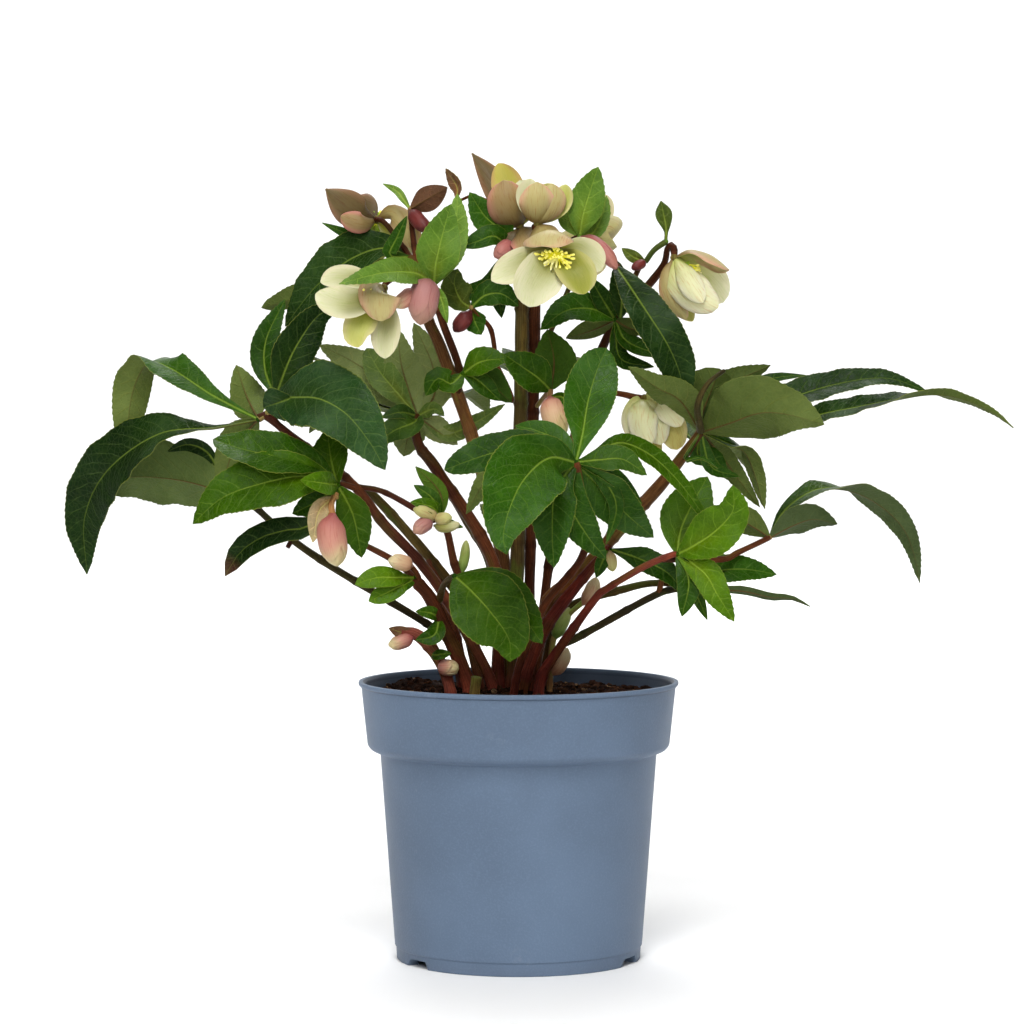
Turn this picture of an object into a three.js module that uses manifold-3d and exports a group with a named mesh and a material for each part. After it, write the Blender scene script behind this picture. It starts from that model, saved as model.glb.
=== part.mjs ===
// A hellebore in flower, growing in a plastic nursery pot, as a three.js group of named meshes.
// Millimetres, +Z up. The origin is the middle of the pot's foot, on the ground, and -Y is the front.
import * as THREE from 'three';
import { mergeVertices } from 'three/addons/utils/BufferGeometryUtils.js';
import Module from 'manifold-3d';

const wasm = await Module();
wasm.setup();

// Driving dimensions.

const potHeight = 165;
const lipRadius = 95;
const collarRadius = { top: 93.2, bottom: 89.5 };
const collarDrop = 41; // from the lip down to the step under the collar
const bodyRadius = { top: 82.2, bottom: 73.9 };
const footRadius = 72.7;
const footBand = 8; // height of the foot, up to the fine groove over it
const wall = 1.8;
const floorRise = 6; // the pot's floor stands this far above the ground, inside the foot ring
const footRingWidth = 7;
const notches = { bearings: [-55, 65, 185], width: 19, height: 4.6 };
const drains = { count: 4, radius: 4, ring: 42, sides: 8 };
// The step under the collar: how far below it the body ends, and how far the underside is set in and rises.
const step = { under: 1.6, inset: 2.2, rise: 3, insideDrop: 2 };
// The rolled lip: its depth, the slope under it, the chamfer on its edge and the drop to the inner wall.
const lip = { depth: 2.6, slope: 1, chamfer: 0.5, insideDrop: 0.4 };
const potSides = 30;

const soil = {
  edge: 155, // height at the wall
  crown: 161, // height in the middle
  spread: 46, // radius of the heap in the middle
  bed: 60, // underside
  clods: 1.1,
  sides: 14,
  rings: 3,
  belowStep: 4, // where the peat's side leaves the body wall
  overStep: 3.4, // where it meets the collar's inside
  lap: 0.6,
  widening: 2, // of the collar between there and the edge
  shoulder: 3, // the side ends this far under the edge
};
const gap = 0.3; // between neighbouring pieces
const weldWithin = 1e-4;

const bladeThickness = 0.9;
const sepalThickness = 0.9;
const leafFold = 16; // degrees that each half of a blade rises from its rib
// Blades, sepals and stamens each grow from a lump of this radius.
const heartRadius = { leaf: 2.5, bloom: 3.2, stamens: 2.6 };
const rootOffset = 1.1; // a blade or sepal starts this far from the middle of that lump
const seed = 7;
const lumpSpread = 1.7; // a lump's corners move out this much as its faces move out by one

const stemShape = { thickFrom: 3.9, thickSides: 5, thinSides: 4 };
// Half widths that a blade or sepal never goes under, and the share of a blade that counts as its stalk.
const leastHalf = { stalk: 1.1, tip: 0.5, sepal: 1.4, stalkShare: 0.3 };
const bladeEnd = 0.9999; // the outline is read just short of its tip
const sepalShape = { widest: 0.62, fullness: 0.75, stations: [0.4, 0.8, 1] };
const budProfile = [[0, 0.4], [0.28, 0.96], [0.7, 0.9], [1, 0.2]]; // [share of length, share of radius]
const budSides = 6;
const stamenShape = { sides: 3, foot: 0.5, tip: 1.1, goldenAngle: 137.5 };

// Every place on the plant is written [across, up, depth]. Across and up say where it stands in the upright
// plane through the pot's axis, sighted from one point in front, and depth how far behind that plane it is.
const sightPoint = new THREE.Vector3(-3.87, -2140, 357);
const towardFront = new THREE.Vector3(0, -1, 0);
const upward = new THREE.Vector3(0, 0, 1);

// Stations on a blade as [share of length, factor on width]: without teeth, and with one a side. For more:
// where the teeth begin, the length they take, where in its step each tip stands, and the factors.
const plainStations = [[0.35, 0.95], [0.7, 1], [1, 1]];
const oneToothStations = [[0.32, 0.85], [0.62, 1.06], [1, 1]];
const teeth = {
  foot: [0.18, 0.6],
  from: 0.14,
  span: 0.78,
  tipAt: 0.85,
  notchAfter: 0.05,
  tip: 1.07,
  notch: 0.93,
};

// How an outline swells: the share of its length where it is widest, how full it is, and teeth a side.
const outlines = {
  broad: { widest: 0.42, fullness: 0.8, teeth: 3 },
  medium: { widest: 0.42, fullness: 0.8, teeth: 2 },
  slim: { widest: 0.44, fullness: 0.85, teeth: 2 },
  small: { widest: 0.45, fullness: 0.8, teeth: 1 },
  round: { widest: 0.6, fullness: 0.6, teeth: 2 },
  strap: { widest: 0.58, fullness: 0.5, teeth: 2 },
  plain: { widest: 0.48, fullness: 0.75, teeth: 0 },
  spoon: { widest: 0.66, fullness: 1.1, teeth: 0 },
};

function finish(color, roughness, metalness = 0) {
  return new THREE.MeshStandardMaterial({ color, roughness, metalness });
}

const finishes = {
  potPlastic: finish(0x6c8098, 0.48),
  peat: finish(0x2b1a10, 0.95),
  darkStem: finish(0x46232a, 0.5),
  oliveStem: finish(0x5a552d, 0.55),
  redStem: finish(0x643728, 0.5),
  pinkStem: finish(0xa6554c, 0.5),
  leaf: finish(0x1e4b14, 0.42),
  youngLeaf: finish(0x4a821c, 0.42),
  backLeaf: finish(0x5f6e41, 0.6),
  bract: finish(0x4e8a2a, 0.45),
  purpleBract: finish(0x5a3c34, 0.5),
  sepal: finish(0xe1e1b4, 0.55),
  stamen: finish(0xd2c31e, 0.6),
  bud: finish(0xc88282, 0.5),
};

function place([across, up, depth]) {
  const onPlane = new THREE.Vector3(across, 0, up);
  return onPlane.sub(sightPoint).multiplyScalar(1 - depth / sightPoint.y).add(sightPoint);
}

// A closed skin over rings of equal count. The second half of each ring is split the mirrored way, so the two
// faces of a blade have the same triangles and never cross.
function loft(rings) {
  const count = rings[0].length;
  const index = [];
  const quad = (a, b, c, d) => index.push(a, b, c, a, c, d);
  for (let i = 0; i < rings.length - 1; i += 1) {
    for (let k = 0; k < count; k += 1) {
      const here = [i * count + k, i * count + ((k + 1) % count)];
      const next = here.map((n) => n + count);
      if (k < count / 2) quad(here[0], here[1], next[1], next[0]);
      else quad(here[1], next[1], next[0], here[0]);
    }
  }
  const last = (rings.length - 1) * count;
  for (let j = 0; j < Math.floor(count / 2) - 1; j += 1) {
    quad(j, count - 1 - j, count - 2 - j, j + 1);
    quad(last + j, last + j + 1, last + count - 2 - j, last + count - 1 - j);
  }
  if (count % 2 === 1) {
    const mid = (count - 1) / 2;
    index.push(mid - 1, mid + 1, mid, last + mid - 1, last + mid, last + mid + 1);
  }
  const geometry = new THREE.BufferGeometry().setFromPoints(rings.flat());
  geometry.setIndex(index);
  return geometry;
}

function signedVolume(positions, triangles) {
  const [a, b, c] = [new THREE.Vector3(), new THREE.Vector3(), new THREE.Vector3()];
  let sum = 0;
  for (let i = 0; i < triangles.length; i += 3) {
    a.fromArray(positions, triangles[i] * 3);
    b.fromArray(positions, triangles[i + 1] * 3);
    c.fromArray(positions, triangles[i + 2] * 3);
    sum += a.dot(b.cross(c)) / 6;
  }
  return sum;
}

// A solid with its faces pointing out, whichever way round the skin was written.
function solid(geometry) {
  const bare = geometry.clone();
  bare.deleteAttribute('normal');
  bare.deleteAttribute('uv');
  const merged = mergeVertices(bare, weldWithin);
  const vertProperties = new Float32Array(merged.attributes.position.array);
  const triVerts = new Uint32Array(merged.index.array);
  if (signedVolume(vertProperties, triVerts) < 0) {
    for (let i = 0; i < triVerts.length; i += 3) {
      [triVerts[i], triVerts[i + 1]] = [triVerts[i + 1], triVerts[i]];
    }
  }
  return new wasm.Manifold(new wasm.Mesh({ numProp: 3, vertProperties, triVerts }));
}

function fuse(solids) {
  return solids.reduce((sum, next) => sum.add(next));
}

function largestBody(joined) {
  const bodies = joined.decompose();
  return bodies.reduce((best, body) => (body.volume() > best.volume() ? body : best));
}

function boxesTouch(a, b) {
  const [p, q] = [a.boundingBox(), b.boundingBox()];
  return [0, 1, 2].every((axis) => p.min[axis] <= q.max[axis] && q.min[axis] <= p.max[axis]);
}

function potOutline() {
  const stepHeight = potHeight - collarDrop;
  const lipUnder = potHeight - lip.depth;
  const inner = (radius) => radius - wall;
  const ring = footRadius - footRingWidth;
  return [
    [0, floorRise], [ring, floorRise], [ring, 0], [footRadius, 0],
    [bodyRadius.bottom, footBand],
    [bodyRadius.top, stepHeight - step.under], [collarRadius.bottom - step.inset, stepHeight],
    [collarRadius.bottom, stepHeight + step.rise], [collarRadius.top, lipUnder - lip.slope],
    [lipRadius, lipUnder], [lipRadius - lip.chamfer, potHeight],
    [inner(collarRadius.top), potHeight - lip.insideDrop],
    [inner(collarRadius.bottom), stepHeight + step.rise],
    [inner(bodyRadius.top), stepHeight - step.insideDrop],
    [inner(bodyRadius.bottom), floorRise + wall],
    [0, floorRise + wall],
  ].map(([radius, height]) => new THREE.Vector2(radius, height));
}

function turned(points, sides) {
  return solid(new THREE.LatheGeometry(points, sides).rotateX(Math.PI / 2));
}

function makePot() {
  let pot = turned(potOutline(), potSides);
  for (const bearing of notches.bearings) {
    const notch = new THREE.BoxGeometry(notches.width, 3 * footRingWidth, 2 * notches.height);
    notch.translate(0, -footRadius, 0);
    notch.rotateZ(THREE.MathUtils.degToRad(bearing));
    pot = pot.subtract(solid(notch));
  }
  for (let i = 0; i < drains.count; i += 1) {
    const hole = new THREE.CylinderGeometry(drains.radius, drains.radius, 4 * floorRise, drains.sides);
    hole.rotateX(Math.PI / 2).translate(drains.ring, 0, floorRise);
    hole.rotateZ(((i + 0.5) / drains.count) * 2 * Math.PI);
    pot = pot.subtract(solid(hole));
  }
  return pot;
}

// Seeded random numbers from 0 to 1 (mulberry32).
function randomFrom(start) {
  let state = start;
  return () => {
    state = (state + 0x6d2b79f5) | 0;
    let mixed = Math.imul(state ^ (state >>> 15), 1 | state);
    mixed = (mixed + Math.imul(mixed ^ (mixed >>> 7), 61 | mixed)) ^ mixed;
    return ((mixed ^ (mixed >>> 14)) >>> 0) / 4294967296;
  };
}

// The peat fills the pot to just under the lip, higher round the crown, with a lumpy top.
function makeSoil(margin) {
  const random = randomFrom(seed);
  const stepHeight = potHeight - collarDrop;
  const facet = Math.cos(Math.PI / potSides); // the wall is drawn with flats, which the peat stays inside
  const wallAt = (height) => {
    const rise = (height - footBand) / (stepHeight - footBand);
    return facet * (THREE.MathUtils.lerp(bodyRadius.bottom, bodyRadius.top, Math.min(rise, 1)) - wall - gap);
  };
  const collarInside = facet * (collarRadius.bottom - wall - gap);
  const edgeRadius = collarInside + facet * soil.widening;
  const circle = (radius, height) => Array.from({ length: soil.sides }, (_, k) => {
    const turn = (k / soil.sides) * 2 * Math.PI;
    return new THREE.Vector3(radius * Math.cos(turn), radius * Math.sin(turn), height);
  });
  const lumpy = (radius) => circle(radius, 0).map((point) => {
    const heap = (soil.crown - soil.edge) * Math.exp(-((radius / soil.spread) ** 2));
    return point.setZ(soil.edge + heap + (random() - 0.5) * 2 * soil.clods + margin);
  });
  const leaving = stepHeight - soil.belowStep;
  const meeting = stepHeight + soil.overStep;
  const rings = [
    circle(wallAt(soil.bed), soil.bed),
    circle(wallAt(leaving), leaving),
    circle(wallAt(leaving), meeting),
    circle(collarInside, meeting + soil.lap),
    circle(edgeRadius, soil.edge - soil.shoulder),
  ];
  for (let i = soil.rings; i > 0; i -= 1) rings.push(lumpy((edgeRadius * i) / soil.rings));
  return solid(loft(rings));
}

// A smooth line through the places, with the number after each place eased along it.
function route(places) {
  const curve = new THREE.CatmullRomCurve3(places.map(place), false, 'catmullrom', 0.5);
  const at = (along) => {
    const index = along * (places.length - 1);
    const before = Math.min(Math.floor(index), places.length - 2);
    const extra = THREE.MathUtils.lerp(places[before][3], places[before + 1][3], index - before);
    return { point: curve.getPoint(along), ahead: curve.getTangent(along), extra };
  };
  return { at, atShare: (share) => at(curve.getUtoTmapping(share)), length: curve.getLength() };
}

// The face of a strip: turned by so many degrees about its heading, from facing the given way.
function faceFrame(ahead, turn, facing) {
  const square = facing.clone().addScaledVector(ahead, -facing.dot(ahead)).normalize();
  const left = square.clone().cross(ahead);
  const angle = THREE.MathUtils.degToRad(turn);
  const face = square.multiplyScalar(Math.cos(angle)).addScaledVector(left, Math.sin(angle));
  return { face, side: ahead.clone().cross(face) };
}

// A ring of so many points round a place.
function polygon(sides, point, face, side, radius) {
  return Array.from({ length: sides }, (_, k) => {
    const turn = (k / sides) * 2 * Math.PI;
    return point.clone()
      .addScaledVector(face, radius * Math.cos(turn))
      .addScaledVector(side, radius * Math.sin(turn));
  });
}

// A stem: places are [across, up, depth, radius].
function stem(run, margin) {
  const line = route(run);
  const thickest = Math.max(...run.map((spot) => spot[3]));
  const sides = thickest > stemShape.thickFrom ? stemShape.thickSides : stemShape.thinSides;
  const rings = run.map((_, i) => {
    const { point, ahead, extra } = line.at(i / (run.length - 1));
    const { face, side } = faceFrame(ahead, 0, towardFront);
    return polygon(sides, point, face, side, extra + margin);
  });
  return solid(loft(rings));
}

// The stations of one blade, from where it leaves its lump.
function stations(outline, start) {
  if (outline.teeth === 0) return [[start, 1], ...plainStations];
  if (outline.teeth === 1) return [[start, 1], ...oneToothStations];
  const list = [[start, 1], teeth.foot];
  for (let i = 0; i < outline.teeth; i += 1) {
    const tip = teeth.from + (teeth.span * (i + teeth.tipAt)) / outline.teeth;
    list.push([tip, teeth.tip]);
    if (i < outline.teeth - 1) list.push([tip + teeth.notchAfter, teeth.notch]);
  }
  list.push([1, 1]);
  return list;
}

function swell({ widest, fullness }, share) {
  const within = Math.min(share, bladeEnd);
  return Math.sin(Math.PI * within ** (Math.log(0.5) / Math.log(widest))) ** fullness;
}

// The ring of points round a blade at one station, from one edge over the upper face to the other and back.
function bladeRing({ point, ahead, extra }, facing, shares, width, lift, thickness) {
  const { face, side } = faceFrame(ahead, extra, facing);
  const half = (offset) => shares.map((share) => point.clone()
    .addScaledVector(side, share * width)
    .addScaledVector(face, lift(Math.abs(share)) * width + offset));
  return [...half(thickness / 2), ...half(-thickness / 2).reverse()];
}

// A leaf blade: [outline, half width, ...places], each place [across, up, depth, turn of the upper face].
function blade([kind, halfWidth, ...places], margin, facing) {
  const line = route(places);
  const outline = outlines[kind];
  const fold = Math.tan(THREE.MathUtils.degToRad(leafFold));
  const rings = stations(outline, rootOffset / line.length).map(([share, factor]) => {
    const least = share < leastHalf.stalkShare ? leastHalf.stalk : leastHalf.tip;
    const width = Math.max(halfWidth * swell(outline, share) * factor, least) + margin;
    const lift = (across) => (across * fold * width) / (width + 1);
    return bladeRing(line.atShare(share), facing, [-1, 0, 1], width, lift, bladeThickness + 2 * margin);
  });
  return solid(loft(rings));
}

// A sepal: [half width, cup, ...places]. Its edges rise towards its inner face by the cup.
function sepal([halfWidth, cup, ...places], margin) {
  const line = route(places);
  const rings = [rootOffset / line.length, ...sepalShape.stations].map((share) => {
    const width = Math.max(halfWidth * swell(sepalShape, share), leastHalf.sepal) + margin;
    const lift = (across) => cup * across;
    return bladeRing(line.atShare(share), towardFront, [-1, 0, 1], width, lift, sepalThickness + 2 * margin);
  });
  return solid(loft(rings));
}

// A bud or a lump: [radius, ...places], swelling along them from a neck to a blunt tip.
function bud([radius, ...places], margin) {
  const line = route(places.map((spot) => [...spot, 0]));
  const rings = budProfile.map(([share, size]) => {
    const { point, ahead } = line.atShare(share);
    const { face, side } = faceFrame(ahead, 0, towardFront);
    return polygon(budSides, point, face, side, radius * size + margin);
  });
  return solid(loft(rings));
}

// The lump where stalks or sepals meet: [across, up, depth, radius].
function lump([across, up, depth, radius], margin) {
  const middle = place([across, up, depth]);
  return solid(new THREE.OctahedronGeometry(radius + lumpSpread * margin, 0).translate(...middle));
}

// One stamen, from the lump out along its heading.
function stamen(centre, out, length, margin) {
  const nearlyForward = Math.abs(out.y) > 0.9;
  const { face, side } = faceFrame(out, 0, nearlyForward ? upward : towardFront);
  const ring = (along, radius) => {
    const point = centre.clone().addScaledVector(out, along);
    return polygon(stamenShape.sides, point, face, side, radius + margin);
  };
  return solid(loft([ring(rootOffset, stamenShape.foot), ring(length, stamenShape.tip)]));
}

// A tuft of stamens: { heart, look, count, length, spread }, on a small dome that faces the look place.
function tuft({ heart, look, count, length, spread }, margin) {
  const centre = place(heart);
  const axis = place(look).sub(centre).normalize();
  const turnTo = new THREE.Quaternion().setFromUnitVectors(upward, axis);
  const pieces = [lump([...heart, heartRadius.stamens], margin)];
  for (let i = 0; i < count; i += 1) {
    const bearing = i * THREE.MathUtils.degToRad(stamenShape.goldenAngle);
    const lean = THREE.MathUtils.degToRad(spread) * Math.sqrt((i + 0.5) / count);
    const out = new THREE.Vector3().setFromSphericalCoords(1, lean, bearing);
    out.set(out.z, out.x, out.y).applyQuaternion(turnTo);
    pieces.push(stamen(centre, out, length, margin));
  }
  return fuse(pieces);
}

// The plant, piece by piece.

const stems = {
  stem_left_long: {
    finish: finishes.darkStem,
    runs: [
      [[-14, 147, -8, 3.4], [-18, 168, -10, 3.4], [-42, 212, -20, 3.1], [-60, 237, -27, 3],
        [-80, 258, -34, 3], [-97, 280, -40, 2.8], [-118, 298, -30, 2.4], [-132, 308, -27, 2.4],
        [-150, 322, -27, 2.2]],
      [[-96, 279, -41, 2], [-106, 282, -49, 1.6]],
      [[-95, 280, -39, 1.6], [-80, 277, -38, 1.7], [-60, 266, -33, 1.8], [-53, 260, -31, 1.8]],
    ],
  },
  stem_left_olive: {
    finish: finishes.oliveStem,
    runs: [
      [[-21, 147, 6, 3], [-24, 168, 4, 3], [-32, 200, 2, 3], [-40, 222, -1, 3], [-83, 272, -16, 2.8],
        [-98, 281, -20, 2.4], [-118, 298, -14, 2.2], [-132, 308, -12, 2.2], [-145, 320, -14, 2.2],
        [-144, 331, -19, 2]],
    ],
  },
  stem_left_short: {
    finish: finishes.redStem,
    runs: [
      [[-26, 147, -18, 4.2], [-31, 166, -20, 4.2], [-40, 188, -26, 4.2], [-52, 213, -34, 4],
        [-60, 223, -37, 3.4]],
      [[-59, 222, -36, 2], [-72, 235, -31, 2], [-98, 249, -27, 1.6]],
      [[-51, 212, -34, 2.2], [-45, 228, -60, 1.8], [-40, 227, -69, 1.7]],
      [[-58, 221, -36, 1.6], [-60, 228, -41, 1.5], [-64, 233, -44, 1.6]],
    ],
    heart: [-47, 202, -32],
    blades: [
      ['plain', 4, [-52, 205, -38, -20], [-61, 206, -41, -20]],
      ['plain', 5.5, [-50, 192, -40, -10], [-61, 189, -42, -10]],
    ],
    buds: [[4.6, [-63, 233, -44], [-69, 235, -48], [-77, 236.5, -50]]],
  },
  stem_left_low: {
    finish: finishes.darkStem,
    runs: [
      [[-33, 147, 12, 2.3], [-36, 172, 10, 2.3], [-42, 190, 9, 2.3], [-110, 232, 2, 2.3],
        [-136, 250, 2, 2.2], [-156, 268, 4, 2]],
      [[-134, 249, 2, 1.6], [-137, 244, 0, 1.4]],
    ],
  },
  stem_middle: {
    finish: finishes.redStem,
    runs: [
      [[-8, 147, 3, 3.8], [-12, 168, 1, 3.8], [-14, 232, 0, 3.8], [-47, 288, -4, 3.5],
        [-58, 303, -2, 3.1], [-61, 314, 6, 2.6], [-60, 320, 11, 2.2]],
      [[-14, 195, -1, 2.4], [-35, 226, -15, 2.4], [-42, 252, -26, 2.2]],
    ],
    buds: [[3, [-35, 227, -15], [-32, 238, -13], [-31, 248, -12]]],
  },
  stem_flower_left: {
    finish: finishes.redStem,
    runs: [
      [[-5, 147, 14, 4], [-8, 225, 12, 4], [-12, 250, 11, 4], [-26, 305, 3, 4], [-45, 360, -7, 3.5],
        [-53, 378, -11, 3.4], [-58, 397, -13, 2.8], [-62, 413, -10, 2.3]],
      [[-36, 336, -4, 2.3], [-35, 350, -11, 2.3], [-45, 378, -24, 2.3], [-50, 398, -41, 2]],
      [[-60, 408, -11, 1.8], [-63.5, 438.5, -4.5, 1.5]],
      [[-61, 412, -10, 1.5], [-78, 435, 3, 1.5], [-84, 438, 8, 1.5]],
      [[-57, 396, -13, 1.8], [-64, 403, -32, 1.6], [-72, 404, -48, 1.6], [-79, 400, -57, 1.6]],
    ],
  },
  stem_flower_centre: {
    finish: finishes.redStem,
    runs: [
      [[-4, 147, -3, 4.4], [0, 258, -4, 4.2], [2, 390, -8, 4], [-1, 418, -9, 3.6], [1, 430, -9, 3]],
      [[6, 147, 8, 2.6], [10, 330, 5, 2.8], [9, 385, 0, 4], [10, 402, -3, 3.6], [12, 418, -12, 3],
        [10, 433, -29, 2.2]],
      [[1, 385, -7, 3.4], [9, 398, -2, 3.4], [12, 408, -5, 3]],
      [[12, 412, -9, 2], [18, 422, -24, 1.8], [23, 429, -42, 1.7], [24, 428, -58, 1.7]],
      [[12, 412, -8, 2], [31, 425.5, -15.5, 1.6]],
    ],
  },
  stem_flower_right: {
    finish: finishes.redStem,
    runs: [
      [[12, 147, 22, 2.8], [14, 200, 22, 2.8], [22, 260, 20, 2.8], [33, 310, 16, 2.7], [44, 348, 6, 2.6],
        [52, 368, -2, 2.6], [60, 386, -12, 2.8], [58, 409, -26, 2.2]],
      [[60, 385, -12, 2.3], [68, 390, -13, 2.3], [79, 402, -15, 2.4], [86, 412, -20, 2],
        [88, 421, -25, 1.8], [91, 423, -29, 1.8], [92, 419, -30, 2]],
      [[39, 333, 10, 1.6], [50, 336, -3, 1.6], [61, 335, -16, 1.8], [73, 332, -24, 2.2]],
      [[60, 386, -12, 1.6], [71, 409, -27, 1.6]],
    ],
  },
  stem_right_brown: {
    finish: finishes.oliveStem,
    runs: [
      [[8, 147, -13, 4], [9, 168, -14, 4], [16, 208, -18, 4], [28, 222, -20, 4], [40, 232, -22, 4],
        [60, 255, -24, 4], [85, 282, -24, 3.8], [106, 310, -26, 2.6]],
      [[13, 147, 0, 2.6], [17, 180, -2, 2.6], [28, 207, -5, 2.6], [65, 220, -13, 2.3], [84, 223, -17, 2],
        [101, 221, -24, 1.8]],
      [[9, 140, -12, 3], [12, 150, -6, 3], [15, 165, -1, 2.4]],
    ],
  },
  stem_right_short: {
    finish: finishes.pinkStem,
    runs: [
      [[0, 147, -22, 4.4], [3, 166, -23, 4.4], [18, 200, -30, 4], [52, 242, -40, 2.4]],
    ],
  },
  stem_right_red: {
    finish: finishes.pinkStem,
    runs: [
      [[11, 147, -31, 3.6], [13, 165, -33, 3.6], [20, 178, -36, 3.5], [45, 213, -45, 3],
        [53, 220, -48, 2.7], [75, 233, -54, 2.4], [92, 240, -57, 2]],
      [[25, 186, -37, 2.3], [34, 190, -32, 2.3], [45, 196, -29, 2.3], [84, 217, -28, 2.1],
        [100, 219, -30, 1.7]],
      [[83, 216, -28, 1.8], [85, 225, -30, 1.6]],
      [[84, 237, -56, 1.8], [120, 237, -27, 1.8], [130, 241, -19, 1.8], [147, 249, -10, 1.6]],
    ],
  },
  stem_front: {
    finish: finishes.redStem,
    runs: [
      [[-4, 147, -34, 2.4], [0, 172, -37, 2.4], [9, 195, -44, 2.4], [17, 212, -51, 2.3],
        [37, 237, -70, 2.2], [40, 256, -84, 2.2], [35, 291, -104, 2]],
    ],
  },
  stems_back: {
    finish: finishes.oliveStem,
    runs: [
      [[-12, 147, 25, 3], [-13, 200, 22, 3], [-17, 235, 24, 3], [-32, 262, 38, 2.8], [-47, 288, 62, 2.6],
        [-58, 303, 76, 2.4], [-62, 318, 84, 2.2]],
      [[-4, 147, 34, 3], [-2, 200, 30, 3], [0, 260, 32, 2.8], [1, 300, 42, 2.6], [1, 330, 56, 2.4],
        [2, 343, 64, 2.2]],
      [[6, 147, 30, 3], [14, 205, 30, 3], [28, 222, 34, 2.8], [40, 232, 40, 2.8], [60, 255, 52, 2.6],
        [85, 282, 74, 2.4], [103, 305, 95, 2.2]],
      [[0, 240, 31, 2], [3, 250, 42, 1.8], [4, 256, 52, 1.8]],
      [[-14, 150, 25, 3], [-4, 150, 33, 3], [8, 150, 30, 3]],
      [[1, 334, 58, 1.8], [16, 365, 64, 1.6], [30, 398, 62, 1.6], [42, 424, 52, 1.6],
        [45, 430, 46, 1.8]],
    ],
  },
  shoot_left: {
    finish: finishes.pinkStem,
    runs: [
      [[-38, 147, -14, 3], [-42, 165, -17, 3], [-46, 174, -19, 3], [-52, 182, -22, 2.8],
        [-58, 189, -25, 2.4], [-63, 192, -27, 1.8]],
    ],
    heart: [-61, 191, -26],
    blades: [['plain', 4, [-68, 193, -30, 0], [-77, 196, -32, 0]]],
    buds: [
      [4.3, [-62, 191, -27], [-71, 187.5, -30], [-77, 186, -31]],
      [4.8, [-46, 173, -20], [-42, 172.5, -26], [-36, 172, -30]],
    ],
  },
};

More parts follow.
